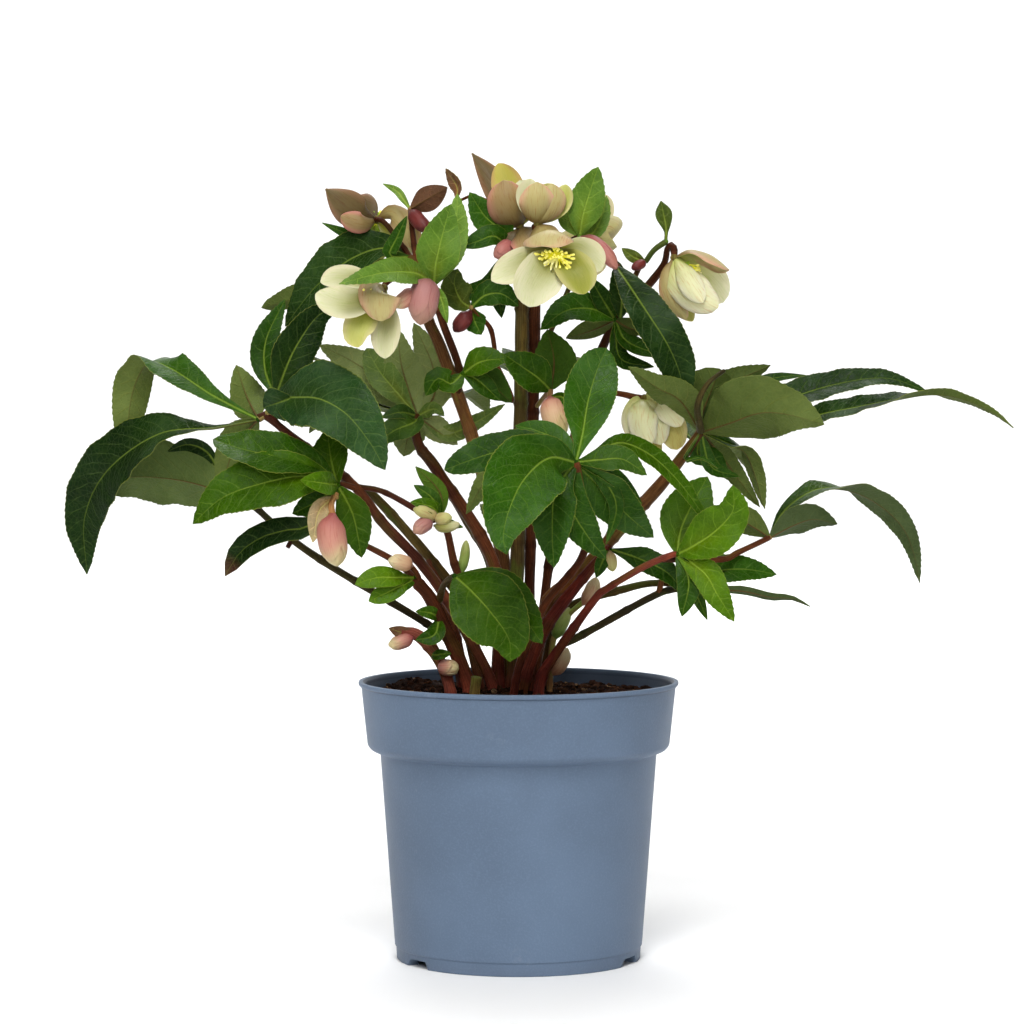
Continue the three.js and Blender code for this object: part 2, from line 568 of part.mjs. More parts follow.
const leaves = {
  leaf_far_left: {
    finish: finishes.leaf,
    heart: [-154, 320, -28],
    blades: [
      ['round', 15, [-181, 333, -24, -40], [-206, 351, -8, -55], [-219, 352, 8, -120],
        [-228, 334, 14, -165], [-233, 300, 12, -175]],
      ['broad', 18, [-180, 315, -23, -75], [-213, 311, -8, -45], [-243, 290, 14, -25],
        [-257, 262, 34, -10], [-256, 228, 46, 0]],
      ['small', 12, [-168, 303, -10, 170], [-177, 276, 0, 170]],
      ['small', 11, [-161, 334, -8, 180], [-167, 352, 2, 180]],
    ],
  },
  leaf_left_front: {
    finish: finishes.youngLeaf,
    heart: [-107, 281, -51],
    blades: [
      ['round', 14.5, [-121, 294, -56, -35], [-148, 299, -64, -40], [-163, 302, -66, -45],
        [-181, 308, -62, -50]],
      ['medium', 15, [-128, 286, -62, -25], [-155, 281, -70, -25], [-176, 273, -70, -25],
        [-193, 258, -66, -20]],
      ['small', 12, [-110, 292, -46, 20], [-112, 303, -41, 10], [-113, 314, -38, 0]],
      ['small', 10, [-98, 263, -44, 0], [-93, 238, -42, 0]],
      ['round', 7, [-122, 258, -54, -20], [-138, 254, -54, -30], [-152, 250, -52, -30],
        [-165, 241, -50, -20], [-174, 226, -48, -10]],
    ],
  },
  leaf_left_low: {
    finish: finishes.backLeaf,
    heart: [-157, 269, 5.5],
    blades: [
      ['round', 20, [-175, 275, 12, -145], [-200, 281, 22, -150], [-228, 284, 28, -150],
        [-251, 281, 30, -150]],
      ['small', 9, [-146, 278, 18, 150], [-132, 288, 30, 150]],
    ],
  },
  leaf_left_upright: {
    finish: finishes.leaf,
    heart: [-144, 333, -21.5],
    blades: [
      ['slim', 8, [-150, 350, -16, 10], [-149, 368, -12, 0], [-138, 391, -6, 0]],
      ['medium', 12.5, [-137, 352, -25, -10], [-130, 366, -25, -20], [-119, 381, -21, -20],
        [-106, 387, -17, -20]],
      ['broad', 22, [-134, 333, -40, 20], [-118, 332, -56, 25], [-102, 323, -68, 20],
        [-88, 306, -74, 10], [-79, 290, -76, 0]],
      ['small', 9, [-134, 342, -8, 170], [-124, 356, 2, 170]],
    ],
  },
  leaf_left_high: {
    finish: finishes.leaf,
    heart: [-64, 416, -8],
    blades: [
      ['broad', 17, [-80, 421, 0, -35], [-100, 414, 6, -35], [-120, 398, 10, -35],
        [-138, 375, 12, -30]],
      ['round', 9.5, [-90, 408, 14, -150], [-118, 396, 26, -150], [-134, 391, 30, -150],
        [-152, 386, 32, -150]],
    ],
  },
  leaf_middle: {
    finish: finishes.backLeaf,
    heart: [-60, 322, 13],
    blades: [
      ['medium', 12, [-78, 340, 24, 175], [-98, 354, 30, 170], [-118, 364, 34, 165]],
      ['medium', 12, [-66, 340, 18, 175], [-70, 356, 18, 175], [-71, 373, 17, 175]],
      ['small', 10, [-65, 312, 15, 180], [-68, 298, 15, 180]],
      ['medium', 11, [-50, 334, 20, 180], [-51, 352, 24, 180], [-62, 377, 26, 180]],
    ],
  },
  leaf_small_left: {
    finish: finishes.youngLeaf,
    heart: [-33, 347, -19.5],
    blades: [
      ['small', 8.5, [-22, 354, -26, 25], [-6, 356, -28, 25]],
      ['plain', 7.5, [-40, 341, -28, -30], [-48, 344, -30, -30], [-55, 334, -28, 0]],
      ['plain', 6, [-24, 343, -22, 10], [-11, 331, -22, 10]],
    ],
  },
  leaf_front: {
    finish: finishes.leaf,
    heart: [34, 294.5, -104.5],
    blades: [
      ['broad', 22, [18, 297, -118, -15], [3, 284, -134, -10], [-6, 265, -148, 0],
        [-9, 250, -156, 0], [-7, 240, -160, 0]],
      ['round', 11, [10, 304, -106, -30], [-15, 300, -108, -30], [-44, 290, -110, -20]],
      ['medium', 13, [22, 278, -112, 0], [20, 255, -117, 0], [21, 232, -120, 0]],
      ['small', 10.5, [31, 270, -104, 5], [40, 252, -101, 10], [52, 237, -98, 10]],
      ['slim', 8.5, [50, 296, -106, 35], [62, 296, -104, 35], [76, 287, -100, 30]],
      ['slim', 6.5, [47, 300, -94, 40], [60, 306, -86, 35], [76, 300, -78, 35],
        [92, 286, -71, 35], [106, 268, -66, 30], [115, 253, -63, 20]],
      ['round', 14.5, [38, 312, -97, 0], [41, 330, -89, 0], [46, 348, -81, 0], [52, 362, -74, 0]],
    ],
  },
  leaf_front_low: {
    finish: finishes.leaf,
    heart: [-38, 227, -71],
    blades: [
      ['broad', 19, [-22, 218, -82, 20], [-9, 205, -90, 12], [-6, 190, -94, 0], [-8, 175, -95, 0]],
      ['medium', 14, [-18, 221, -84, 20], [2, 208, -90, 10], [14, 186, -94, 0]],
    ],
  },
  leaf_flower_side: {
    finish: finishes.leaf,
    heart: [57, 379, -14],
    blades: [
      ['small', 10, [44, 385, -24, -30], [28, 384, -34, -30], [13, 373, -40, -20]],
      ['plain', 6, [66, 374, -16, 150], [77, 372, -16, 150]],
      ['plain', 6, [60, 356, -8, 30], [80, 351, -6, 30]],
      ['plain', 6, [49, 392, -24, 0], [42, 404, -30, 0]],
    ],
  },
  leaf_strap: {
    finish: finishes.leaf,
    heart: [57, 411, -29],
    blades: [
      ['strap', 12.5, [64, 401, -44, 20], [76, 383, -56, 20], [87, 366, -58, 15], [94, 351, -54, 10],
        [99, 333, -50, 5]],
    ],
  },
  leaf_right: {
    finish: finishes.leaf,
    heart: [108, 312.5, -28],
    blades: [
      ['broad', 23, [125, 318, -46, 150], [143, 324, -60, 150], [160, 323, -66, 148],
        [181, 317, -66, 145]],
      ['medium', 13, [113, 333, -14, 175], [125, 346, -8, 170], [147, 354, -4, 165]],
      ['slim', 11, [132, 320, -10, 50], [160, 332, 2, 45], [190, 341, 4, 45], [218, 344, 0, 45],
        [243, 336, -2, 40]],
      ['slim', 8, [135, 310, -28, 60], [160, 317, -38, 50], [180, 323, -52, 50],
        [200, 327, -70, 55], [220, 331, -86, 70], [240, 334.5, -96, 105], [255, 334, -103, 125],
        [270, 329.5, -111, 130], [283, 323, -119, 130], [293, 315, -126, 125]],
      ['slim', 7.5, [123, 306, -24, 60], [134, 301, -22, 110], [140, 288, -18, 140], [146, 267, -14, 150]],
      ['small', 7.5, [99, 298, -42, 20], [108, 286, -48, 25], [123, 278, -50, 20]],
    ],
  },
  leaf_right_front: {
    finish: finishes.youngLeaf,
    heart: [94, 240, -58],
    blades: [
      ['small', 13.5, [104, 245, -64, 20], [117, 254, -68, 10], [127, 266, -70, 0],
        [127, 281, -70, 0]],
      ['small', 15, [96, 254, -53, 0], [102, 268, -50, 0], [112, 286, -46, 10]],
      ['plain', 7, [101, 224, -64, 0], [97, 203, -66, 0]],
      ['small', 8.5, [110, 229, -66, 10], [118, 216, -69, 0], [128, 200, -70, 0]],
    ],
  },
  leaf_right_arch: {
    finish: finishes.backLeaf,
    heart: [149, 250, -8.5],
    blades: [
      ['small', 11, [162, 257, -12, 140], [175, 261, -14, 140], [189, 258, -15, 140]],
      ['slim', 10, [158, 266, -4, 45], [176, 278, 2, 80], [196, 278, 10, 130],
        [213, 270, 16, 150], [227, 257, 20, 160], [234, 242, 24, 165], [238, 223, 28, 170]],
    ],
  },
  leaf_right_small: {
    finish: finishes.leaf,
    heart: [54, 243, -41.5],
    blades: [
      ['slim', 8, [72, 237, -42, 30], [88, 229, -44, 25], [99, 216, -44, 10]],
      ['plain', 4, [50, 236, -46, 0], [46, 226, -48, 0]],
    ],
    buds: [[3.4, [54, 242, -43], [56, 230, -46]]],
  },
  leaf_right_thin: {
    finish: finishes.leaf,
    heart: [103, 220.5, -27],
    blades: [
      ['small', 9, [116, 229, -22, 30], [133, 231, -18, 30], [153, 228, -14, 30]],
      ['plain', 3, [123, 219, -26, 60], [135, 218, -24, 60], [150, 214.5, -20, 60],
        [162, 214, -18, 60], [173, 209, -16, 60]],
    ],
  },
  leaf_low_left: {
    finish: finishes.youngLeaf,
    heart: [-61, 226, -38],
    blades: [
      ['plain', 6.5, [-72, 226, -46, -20], [-84, 226, -50, -20], [-97, 222, -52, -20]],
      ['plain', 6, [-72, 220, -46, -10], [-89, 212, -50, -10]],
    ],
  },
  leaf_back_left: {
    finish: finishes.backLeaf,
    facing: 'up',
    heart: [-62, 321, 86],
    blades: [
      ['small', 19, [-76, 330, 108, 0], [-90, 330, 130, 0], [-102, 320, 150, 0]],
      ['small', 18, [-62, 334, 116, 0], [-60, 332, 142, 0], [-58, 320, 163, 0]],
      ['small', 16, [-44, 332, 104, 0], [-30, 334, 124, 0], [-18, 324, 142, 0]],
      ['small', 17, [-86, 326, 92, 0], [-106, 324, 104, 0], [-124, 312, 116, 0]],
    ],
  },
  leaf_back_centre: {
    finish: finishes.backLeaf,
    facing: 'up',
    heart: [2, 345, 66],
    blades: [
      ['small', 15, [-10, 352, 86, 0], [-18, 352, 106, 0], [-24, 342, 124, 0]],
      ['small', 17, [6, 356, 96, 0], [9, 356, 124, 0], [10, 344, 148, 0]],
      ['small', 15, [20, 353, 82, 0], [34, 352, 98, 0], [46, 342, 110, 0]],
    ],
  },
  leaf_back_low: {
    finish: finishes.backLeaf,
    facing: 'up',
    heart: [4, 257, 53],
    blades: [
      ['small', 14, [-6, 266, 74, 0], [-12, 266, 96, 0], [-16, 256, 114, 0]],
      ['small', 14, [14, 266, 76, 0], [20, 266, 100, 0], [24, 254, 122, 0]],
    ],
  },
  leaf_back_right: {
    finish: finishes.backLeaf,
    facing: 'up',
    heart: [104, 307, 97],
    blades: [
      ['small', 18, [124, 318, 104, 0], [142, 320, 116, 0], [160, 312, 128, 0]],
      ['small', 18, [110, 320, 120, 0], [112, 322, 142, 0], [114, 310, 164, 0]],
      ['small', 16, [92, 318, 114, 0], [80, 320, 130, 0], [68, 310, 144, 0]],
      ['small', 11, [118, 304, 106, 0], [130, 298, 116, 0], [140, 286, 122, 0]],
    ],
  },
  bracts_left: {
    finish: finishes.bract,
    heart: [-50, 399, -44],
    blades: [
      ['medium', 12.5, [-49, 411, -51, 0], [-46, 425, -54, 0], [-40, 447, -54, 0]],
      ['slim', 8.5, [-57, 405, -52, -20], [-66, 407, -66, -25], [-82, 406, -82, -30],
        [-106, 400, -90, -25]],
      ['small', 9, [-42, 417, -36, 0], [-37, 436, -32, 0], [-36, 453, -30, 0]],
    ],
  },
  bracts_purple: {
    finish: finishes.purpleBract,
    heart: [-64, 444, -4],
    blades: [
      ['plain', 7.5, [-54, 450, -10, 180], [-42, 457, -12, 180]],
      ['plain', 2.4, [-68, 450, -4, 0], [-72, 455, -3, 0], [-80, 459, -2, 0]],
    ],
    buds: [[4.5, [-64, 443.5, -4.5], [-58, 436, -12], [-52, 432, -16]]],
  },
  bracts_top: {
    finish: finishes.leaf,
    heart: [-5, 420, -11],
    blades: [
      ['small', 9.5, [-11, 432, -14, -10], [-20, 440, -16, -10], [-29, 454, -16, 0]],
      ['plain', 7.5, [-14, 428, -20, -30], [-24, 425, -24, -30], [-34, 422, -26, -20]],
      ['plain', 7, [-16, 399, 0, -30], [-30, 394, 6, -30], [-45, 391, 8, -30]],
    ],
    buds: [[4.8, [-4, 424, -16], [-9, 420, -22], [-14, 416, -25]]],
  },
  bracts_right: {
    finish: finishes.bract,
    heart: [36, 428, -18.5],
    blades: [
      ['small', 10.5, [38, 440, -23, 0], [42, 454, -24, 0], [47, 469, -23, 0]],
      ['plain', 7.5, [31, 438, -13, 0], [30, 447, -10, 0], [31, 453, -8, 0]],
    ],
    buds: [[4.7, [37, 427.5, -19.5], [45, 423, -30], [52, 417, -36], [58, 409, -38]]],
  },
  bracts_far_right: {
    finish: finishes.bract,
    runs: [[[75, 413, -24, 1.6], [80, 420, -27, 1.6], [87, 425, -28.5, 1.8]]],
    heart: [87, 425, -28],
    blades: [['spoon', 5, [87, 434, -30, 0], [84, 449, -30, 0]]],
    buds: [[3.6, [75, 413, -25], [71, 411, -29], [67, 409, -31]]],
  },
  bracts_middle: {
    finish: finishes.purpleBract,
    runs: [
      [[-13, 352, 2, 1.5], [-16, 372, -4, 1.4], [-22, 380, -8, 1.4], [-28, 386, -12, 1.4]],
      [[-13, 352, 2, 1.5], [-6, 338, 0, 1.5], [-3, 330, -1, 1.4]],
    ],
    heart: [-28, 386, -12],
    blades: [['plain', 6.5, [-35, 392, -14, -20], [-37, 405, -14, -20]]],
    buds: [[4.6, [-28, 384, -12], [-33, 378, -12], [-38, 372, -12]]],
  },
};

const buds = {
  buds_left_top: {
    finish: finishes.bud,
    buds: [
      [8.5, [-53, 402, -52], [-56, 392, -60], [-58, 376.5, -60]],
      [4.6, [-61, 397, -58], [-67, 391, -62], [-74, 387, -62]],
    ],
  },
  bud_centre: {
    finish: finishes.youngLeaf,
    heart: [19, 337, -43],
    blades: [
      ['small', 11, [12, 344, -49, -15], [2, 351, -52, -20], [-9, 358.5, -52, -20]],
      ['medium', 13.5, [21, 355, -38, 180], [17, 373, -34, 180]],
    ],
    runs: [
      [[19, 337, -42, 1.6], [15, 333, -24, 1.5], [11, 328, -11, 1.4]],
      [[19, 337, -43, 1.6], [18.5, 331, -51, 2]],
    ],
    buds: [[7.2, [18.5, 333, -49], [22, 322, -56], [28, 310.5, -56]]],
  },
  bud_left_large: {
    finish: finishes.bud,
    buds: [[8.2, [-110, 264, -64], [-111, 252, -68], [-107.5, 233.5, -68]]],
    runs: [[[-108, 276, -56, 1.8], [-111, 270, -60, 1.9], [-110.5, 262, -64, 2.6]]],
    heart: [-108, 274, -57],
    blades: [['plain', 5.5, [-118, 266, -64, 0], [-122, 247, -68, 0]]],
  },
  buds_cluster: {
    finish: finishes.youngLeaf,
    heart: [-46, 262, -31],
    blades: [
      ['plain', 5.5, [-47, 277, -26, 160], [-61, 292, -24, 160]],
      ['plain', 5, [-52, 268, -38, -40], [-64, 271, -42, -40]],
    ],
    buds: [
      [4.2, [-47, 262, -32], [-53, 265, -39], [-60, 267, -42]],
      [5.4, [-48, 260, -33], [-57, 257, -40], [-64, 253, -43]],
    ],
  },
  buds_low_right: {
    finish: finishes.bud,
    buds: [
      [5, [19, 168, -15], [24, 175, -13], [29, 184, -13]],
      [4.2, [21, 189, -16], [25, 198, -16], [30, 208, -16]],
      [4.4, [38, 210, -22], [43, 217, -24], [46, 226, -24]],
    ],
    runs: [
      [[18, 147, -16, 1.8], [19, 170, -15, 1.8], [21, 190, -16, 1.8], [30, 204, -17, 1.5],
        [39, 212, -22, 1.6]],
    ],
  },
};

const blooms = {
  bloom_front: {
    heart: [23, 421, -66],
    sepals: [
      [12, 0.25, [18, 428, -76, 112], [8, 427, -86, 114], [-1, 423.5, -88, 116]],
      [9.5, 0.25, [5, 413, -78, -20], [-6, 407, -82, -20], [-16, 402, -84, -20]],
      [13.5, 0.22, [15, 408, -82, 5], [9, 398, -86, 5], [6, 386.5, -86, 5]],
      [11, 0.25, [31, 411, -80, 10], [36, 403, -84, 10], [39, 394, -84, 10]],
      [9.5, 0.25, [35, 420, -68, 15], [43, 414, -70, 15], [49, 408, -70, 15]],
    ],
    stamens: { heart: [22, 418, -73], look: [19, 410, -90], count: 8, length: 11, spread: 40 },
  },
  bloom_left: {
    heart: [-79.5, 397.5, -60],
    sepals: [
      [9.5, 0.25, [-95, 389, -72, -15], [-108, 389, -76, -15], [-120, 394, -74, -20]],
      [8, 0.25, [-94, 402, -62, -30], [-106, 403, -64, -30], [-117, 401, -66, -30]],
      [9, 0.25, [-91, 381, -68, 0], [-96, 371, -72, 0], [-95, 362.5, -72, 0]],
      [8.5, 0.22, [-78, 378, -64, 0], [-79, 367, -66, 0], [-79, 356, -66, 0]],
      [12, 0.3, [-82, 396, -76, 180], [-82, 389, -80, 180], [-81, 378, -78, 180]],
    ],
    stamens: { heart: [-83, 394, -65], look: [-88, 385, -80], count: 5, length: 9, spread: 26 },
  },
  bloom_left_back: {
    heart: [-84, 438, 12.5],
    sepals: [
      [12, 0.3, [-93, 440, 4, 180], [-104, 448, 1, 180], [-114, 456, 0, 180]],
      [8, 0.3, [-75, 442, 6, 180], [-67, 434, 3, 180], [-61, 421, 2, 180]],
      [7.5, 0.25, [-76, 430, 14, 0], [-70, 421, 13, 0], [-65, 413.5, 12, 0]],
      [9, 0.3, [-90, 444, 18, 180], [-96, 446, 26, 180], [-103, 447, 36, 170]],
    ],
  },
  bloom_top_left: {
    heart: [1, 433.5, -10.5],
    sepals: [
      [13, 0.3, [-3, 441, -20, 180], [-7, 451, -23, 180], [-9, 461, -20, 180]],
      [9.5, 0.25, [-3, 446, 0, 0], [-7, 459, 4, 0], [-12, 471, 5, 0]],
      [9, 0.25, [-8, 450, 6, 170], [-17, 464, 12, 170], [-27.5, 477, 14, 170]],
      [7, 0.3, [-7, 440, -15, 170], [-11, 446, -17, 170], [-14, 455, -16, 170]],
      [8, 0.25, [5, 444, -6, 0], [4, 453, -2, 0], [1, 461, 2, 0]],
    ],
  },
  bloom_top_right: {
    heart: [11, 435, -30],
    sepals: [
      [10.5, 0.3, [11, 443, -38, 180], [11, 452, -40, 180], [11, 460, -37, 180]],
      [9, 0.3, [17, 442, -36, 170], [20, 450, -37, 170], [20, 459, -34, 170]],
      [7, 0.25, [20, 441, -28, 20], [26, 449, -26, 20], [28, 458.5, -24, 20]],
      [8.5, 0.25, [14, 444, -22, 0], [17, 452, -18, 0], [20, 459, -17, 0]],
    ],
  },
  bloom_right: {
    heart: [92, 415.5, -31.5],
    sepals: [
      [11.5, 0.4, [101, 420, -34, -80], [113, 417, -36, -82], [124.5, 408, -36, -80]],
      [11, 0.3, [97, 403, -42, 178], [106, 393, -48, 178], [118, 386, -48, 178]],
      [8, 0.3, [96, 412, -40, 180], [99, 408, -43, 180], [100, 402, -44, 180]],
      [6.5, 0.3, [88, 406, -36, 180], [90, 393, -38, 170], [99, 379, -36, 150]],
      [12.5, 0.25, [103, 408, -22, 0], [113, 400, -20, 0], [121, 389, -22, 0]],
    ],
    stamens: { heart: [96, 411, -33], look: [110, 400, -34], count: 6, length: 11, spread: 26 },
  },
  bloom_right_low: {
    heart: [74.5, 332.5, -25],
    sepals: [
      [7.2, 0.3, [75, 325, -34, 180], [76, 315, -37, 180], [79, 304, -35, 180]],
      [9, 0.3, [84, 328, -33, 180], [91, 322, -35, 180], [94, 313, -34, 180]],
      [10, 0.25, [90, 325, -14, 0], [97, 314, -12, 0], [95, 301, -14, 0]],
      [6.5, 0.25, [69, 325, -22, 180], [69, 315, -22, 180], [73, 304, -23, 180]],
    ],
  },
  bloom_back: {
    heart: [45, 432, 48],
    sepals: [
      [9, 0.25, [47, 437, 54, 180], [48, 446, 58, 180], [48, 454, 58, 180]],
      [11, 0.25, [38, 438, 54, 180], [30, 446, 58, 180], [26, 452, 58, 180]],
      [11, 0.25, [36, 426, 54, 180], [28, 418, 58, 180], [24, 408, 58, 180]],
      [11, 0.25, [44, 424, 54, 180], [42, 414, 58, 180], [40, 404, 58, 180]],
    ],
  },
};

// The rows of blades or sepals, each with the piece's heart put in as its first place.
function fromHeart(rows = [], heart) {
  return rows.map(([first, second, ...places]) => [first, second, [...heart, places[0][3]], ...places]);
}

function bodiesOf(piece, margin) {
  const facing = piece.facing === 'up' ? upward : towardFront;
  const radius = piece.sepals ? heartRadius.bloom : heartRadius.leaf;
  return [
    ...(piece.heart ? [lump([...piece.heart, radius], margin)] : []),
    ...(piece.runs ?? []).map((run) => stem(run, margin)),
    ...fromHeart(piece.blades, piece.heart).map((row) => blade(row, margin, facing)),
    ...fromHeart(piece.sepals, piece.heart).map((row) => sepal(row, margin)),
    ...(piece.buds ?? []).map((row) => bud(row, margin)),
  ];
}

// Each piece is cut back by the ones placed before it, grown by the gap, so neighbours never touch.
const placed = [];
function put(name, material, build) {
  let body = build(0);
  for (const other of placed) {
    if (boxesTouch(body, other.grown)) body = body.subtract(other.grown);
  }
  placed.push({ name, material, body: largestBody(body), grown: build(gap) });
}

function putPieces(pieces, material) {
  for (const [name, piece] of Object.entries(pieces)) {
    put(name, material ?? piece.finish, (margin) => fuse(bodiesOf(piece, margin)));
  }
}

putPieces(stems);
put('soil', finishes.peat, (margin) => makeSoil(margin));
putPieces(buds);
putPieces(blooms, finishes.sepal);
for (const [name, bloom] of Object.entries(blooms)) {
  const { stamens } = bloom;
  if (stamens) put(name.replace('bloom', 'stamens'), finishes.stamen, (margin) => tuft(stamens, margin));
}
putPieces(leaves);
put('pot', finishes.potPlastic, () => makePot());

function toMesh({ name, material, body }) {
  const { vertProperties, triVerts } = body.getMesh();
  const geometry = new THREE.BufferGeometry();
  geometry.setAttribute('position', new THREE.BufferAttribute(new Float32Array(vertProperties), 3));
  geometry.setIndex(new THREE.BufferAttribute(new Uint32Array(triVerts), 1));
  geometry.computeVertexNormals();
  const mesh = new THREE.Mesh(geometry, material);
  mesh.name = name;
  return mesh;
}

const group = new THREE.Group();
group.add(...placed.map(toMesh));

export default group;
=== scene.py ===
import math
import bpy
import numpy as np
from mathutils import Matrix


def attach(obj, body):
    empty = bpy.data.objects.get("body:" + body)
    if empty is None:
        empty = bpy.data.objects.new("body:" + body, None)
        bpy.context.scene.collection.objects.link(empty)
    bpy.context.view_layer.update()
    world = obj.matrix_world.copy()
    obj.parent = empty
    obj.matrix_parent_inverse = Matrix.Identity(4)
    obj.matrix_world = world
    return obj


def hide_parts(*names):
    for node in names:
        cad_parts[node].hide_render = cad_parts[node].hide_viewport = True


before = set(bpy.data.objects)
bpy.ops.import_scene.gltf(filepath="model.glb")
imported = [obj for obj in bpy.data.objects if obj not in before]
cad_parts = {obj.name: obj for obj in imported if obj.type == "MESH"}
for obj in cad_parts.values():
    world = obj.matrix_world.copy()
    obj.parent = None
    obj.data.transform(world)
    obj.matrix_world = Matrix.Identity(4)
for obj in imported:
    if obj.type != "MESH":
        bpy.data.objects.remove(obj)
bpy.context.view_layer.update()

# A hellebore in flower in its nursery pot. The tables are in millimetres and the meshes in metres.
toMetres = 0.001
dice = np.random.default_rng(11)
print("frame loaded with", len(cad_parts), "nodes")

cameraLook = {"place": [-3.87, -2140.0, 357.0], "pitch": 87.54, "lens": 127.05, "sensor": 36}
sightPoint = np.array(cameraLook["place"])
camera = bpy.data.objects.new("camera", bpy.data.cameras.new("camera"))
camera.data.lens, camera.data.sensor_width = cameraLook["lens"], cameraLook["sensor"]
camera.location = sightPoint * toMetres
camera.rotation_euler = (math.radians(cameraLook["pitch"]), 0, 0)
bpy.context.scene.collection.objects.link(camera)
bpy.context.scene.camera = camera

facings = {"front": np.array([0.0, -1.0, 0.0]), "up": np.array([0.0, 0.0, 1.0])}
fullTurn = 2 * np.pi
tiny = 1e-9  # the least length that anything is divided by
fineSteps = 60  # steps from place to place in which a path's length is measured


def linear(colour):  # a colour in 0..255 as the eye reads it, turned to linear light
    level = np.asarray(colour, float) / 255
    return np.where(level <= 0.04045, level / 12.92, ((level + 0.055) / 1.055) ** 2.4)


def linearTable(table):  # the same for every colour in a table's rows
    return {name: [linear(colour) for colour in colours] for name, colours in table.items()}


def eased(low, high, value):  # 0 below low, 1 above high, soft between
    t = np.clip((value - low) / (high - low), 0, 1)
    return t * t * (3 - 2 * t)


def shade(first, second, share):  # from one colour to another, share by share
    share = np.asarray(share, float)[..., None]
    return first + (second - first) * share


def unit(vectors):  # each made one long
    return vectors / np.maximum(np.linalg.norm(vectors, axis=-1), tiny)[..., None]


def around(count):  # that many even angles round a circle
    return np.arange(count) / count * fullTurn


def spots(rows):
    # A place [across, up, depth] is a spot on the upright plane through the pot's axis, slid along the line
    # from the sight point by its depth.
    rows = np.atleast_2d(np.asarray(rows, float))
    onPlane = np.stack([rows[:, 0], np.zeros(len(rows)), rows[:, 1]], axis=1)
    return sightPoint + (onPlane - sightPoint) * (1 - rows[:, 2:3] / sightPoint[1])


def pathOf(rows):
    # A Catmull-Rom curve through the places, walked by equal lengths, with the fourth number eased along it.
    rows = np.asarray(rows, float)
    points = spots(rows)
    padded = np.vstack([2 * points[0] - points[1], points, 2 * points[-1] - points[-2]])
    last = len(points) - 1

    def at(along):
        index = np.clip(np.floor(along).astype(int), 0, last - 1)
        w = (along - index)[:, None]
        a, b, c, d = (padded[index + k] for k in range(4))
        bend, twist = 2 * a - 5 * b + 4 * c - d, 3 * b - a - 3 * c + d
        point = 0.5 * (2 * b + (c - a) * w + bend * w ** 2 + twist * w ** 3)
        return point, unit(0.5 * ((c - a) + 2 * bend * w + 3 * twist * w ** 2))

    fine = np.linspace(0, last, fineSteps * last + 1)
    run = np.concatenate([[0], np.cumsum(np.linalg.norm(np.diff(at(fine)[0], axis=0), axis=1))])

    def walk(share):
        along = np.interp(np.asarray(share) * run[-1], run, fine)
        point, ahead = at(along)
        return point, ahead, np.interp(along, np.arange(last + 1), rows[:, 3])

    return walk, run[-1]


def sidesOf(ahead, turn=0, facing=facings["front"]):
    # The face is the facing way made square to the heading and turned about it; the side is square to both.
    square = unit(facing - ahead * (ahead @ facing)[:, None])
    angle = np.radians(np.broadcast_to(turn, len(ahead)))[:, None]
    face = square * np.cos(angle) + np.cross(square, ahead) * np.sin(angle)
    return face, np.cross(ahead, face)


def newHeap():
    kinds = ("points", "where", "tone", "paint", "quads", "quadKinds", "fans", "fanKinds")
    return {name: [] for name in kinds}


def addSkin(heap, points, where, tone, paint, kinds, capKinds=None, lean=0.0):
    # A closed skin over rings of equal count: rows run along the heading, columns run round it, and a fan
    # closes each end, pushed out by lean.
    rows, columns = points.shape[:2]
    first = sum(len(block) for block in heap["points"])
    grid = first + np.arange(rows * columns).reshape(rows, columns)
    after = np.roll(grid, -1, axis=1)
    heap["quads"].append(np.stack([grid[:-1], after[:-1], after[1:], grid[1:]], axis=-1).reshape(-1, 4))
    heap["quadKinds"].append(np.broadcast_to(kinds, (rows - 1, columns)).reshape(-1))
    tip = np.full(columns, first + rows * columns)
    heap["fans"] += [np.stack([tip, after[0], grid[0]], axis=1),
                     np.stack([tip + 1, grid[-1], after[-1]], axis=1)]
    caps = (np.ravel(kinds)[0],) * 2 if capKinds is None else capKinds
    heap["fanKinds"].append(np.repeat(caps, columns))
    middles = points.mean(axis=1)
    away = unit(np.stack([middles[0] - middles[1], middles[-1] - middles[-2]]))
    heap["points"] += [points.reshape(-1, 3), middles[[0, -1]] + away * lean]
    for name, values in (("where", where), ("tone", tone), ("paint", paint)):
        values = np.broadcast_to(np.asarray(values, float), (rows, columns, 3))
        heap[name] += [values.reshape(-1, 3), values[[0, -1]].mean(axis=1)]


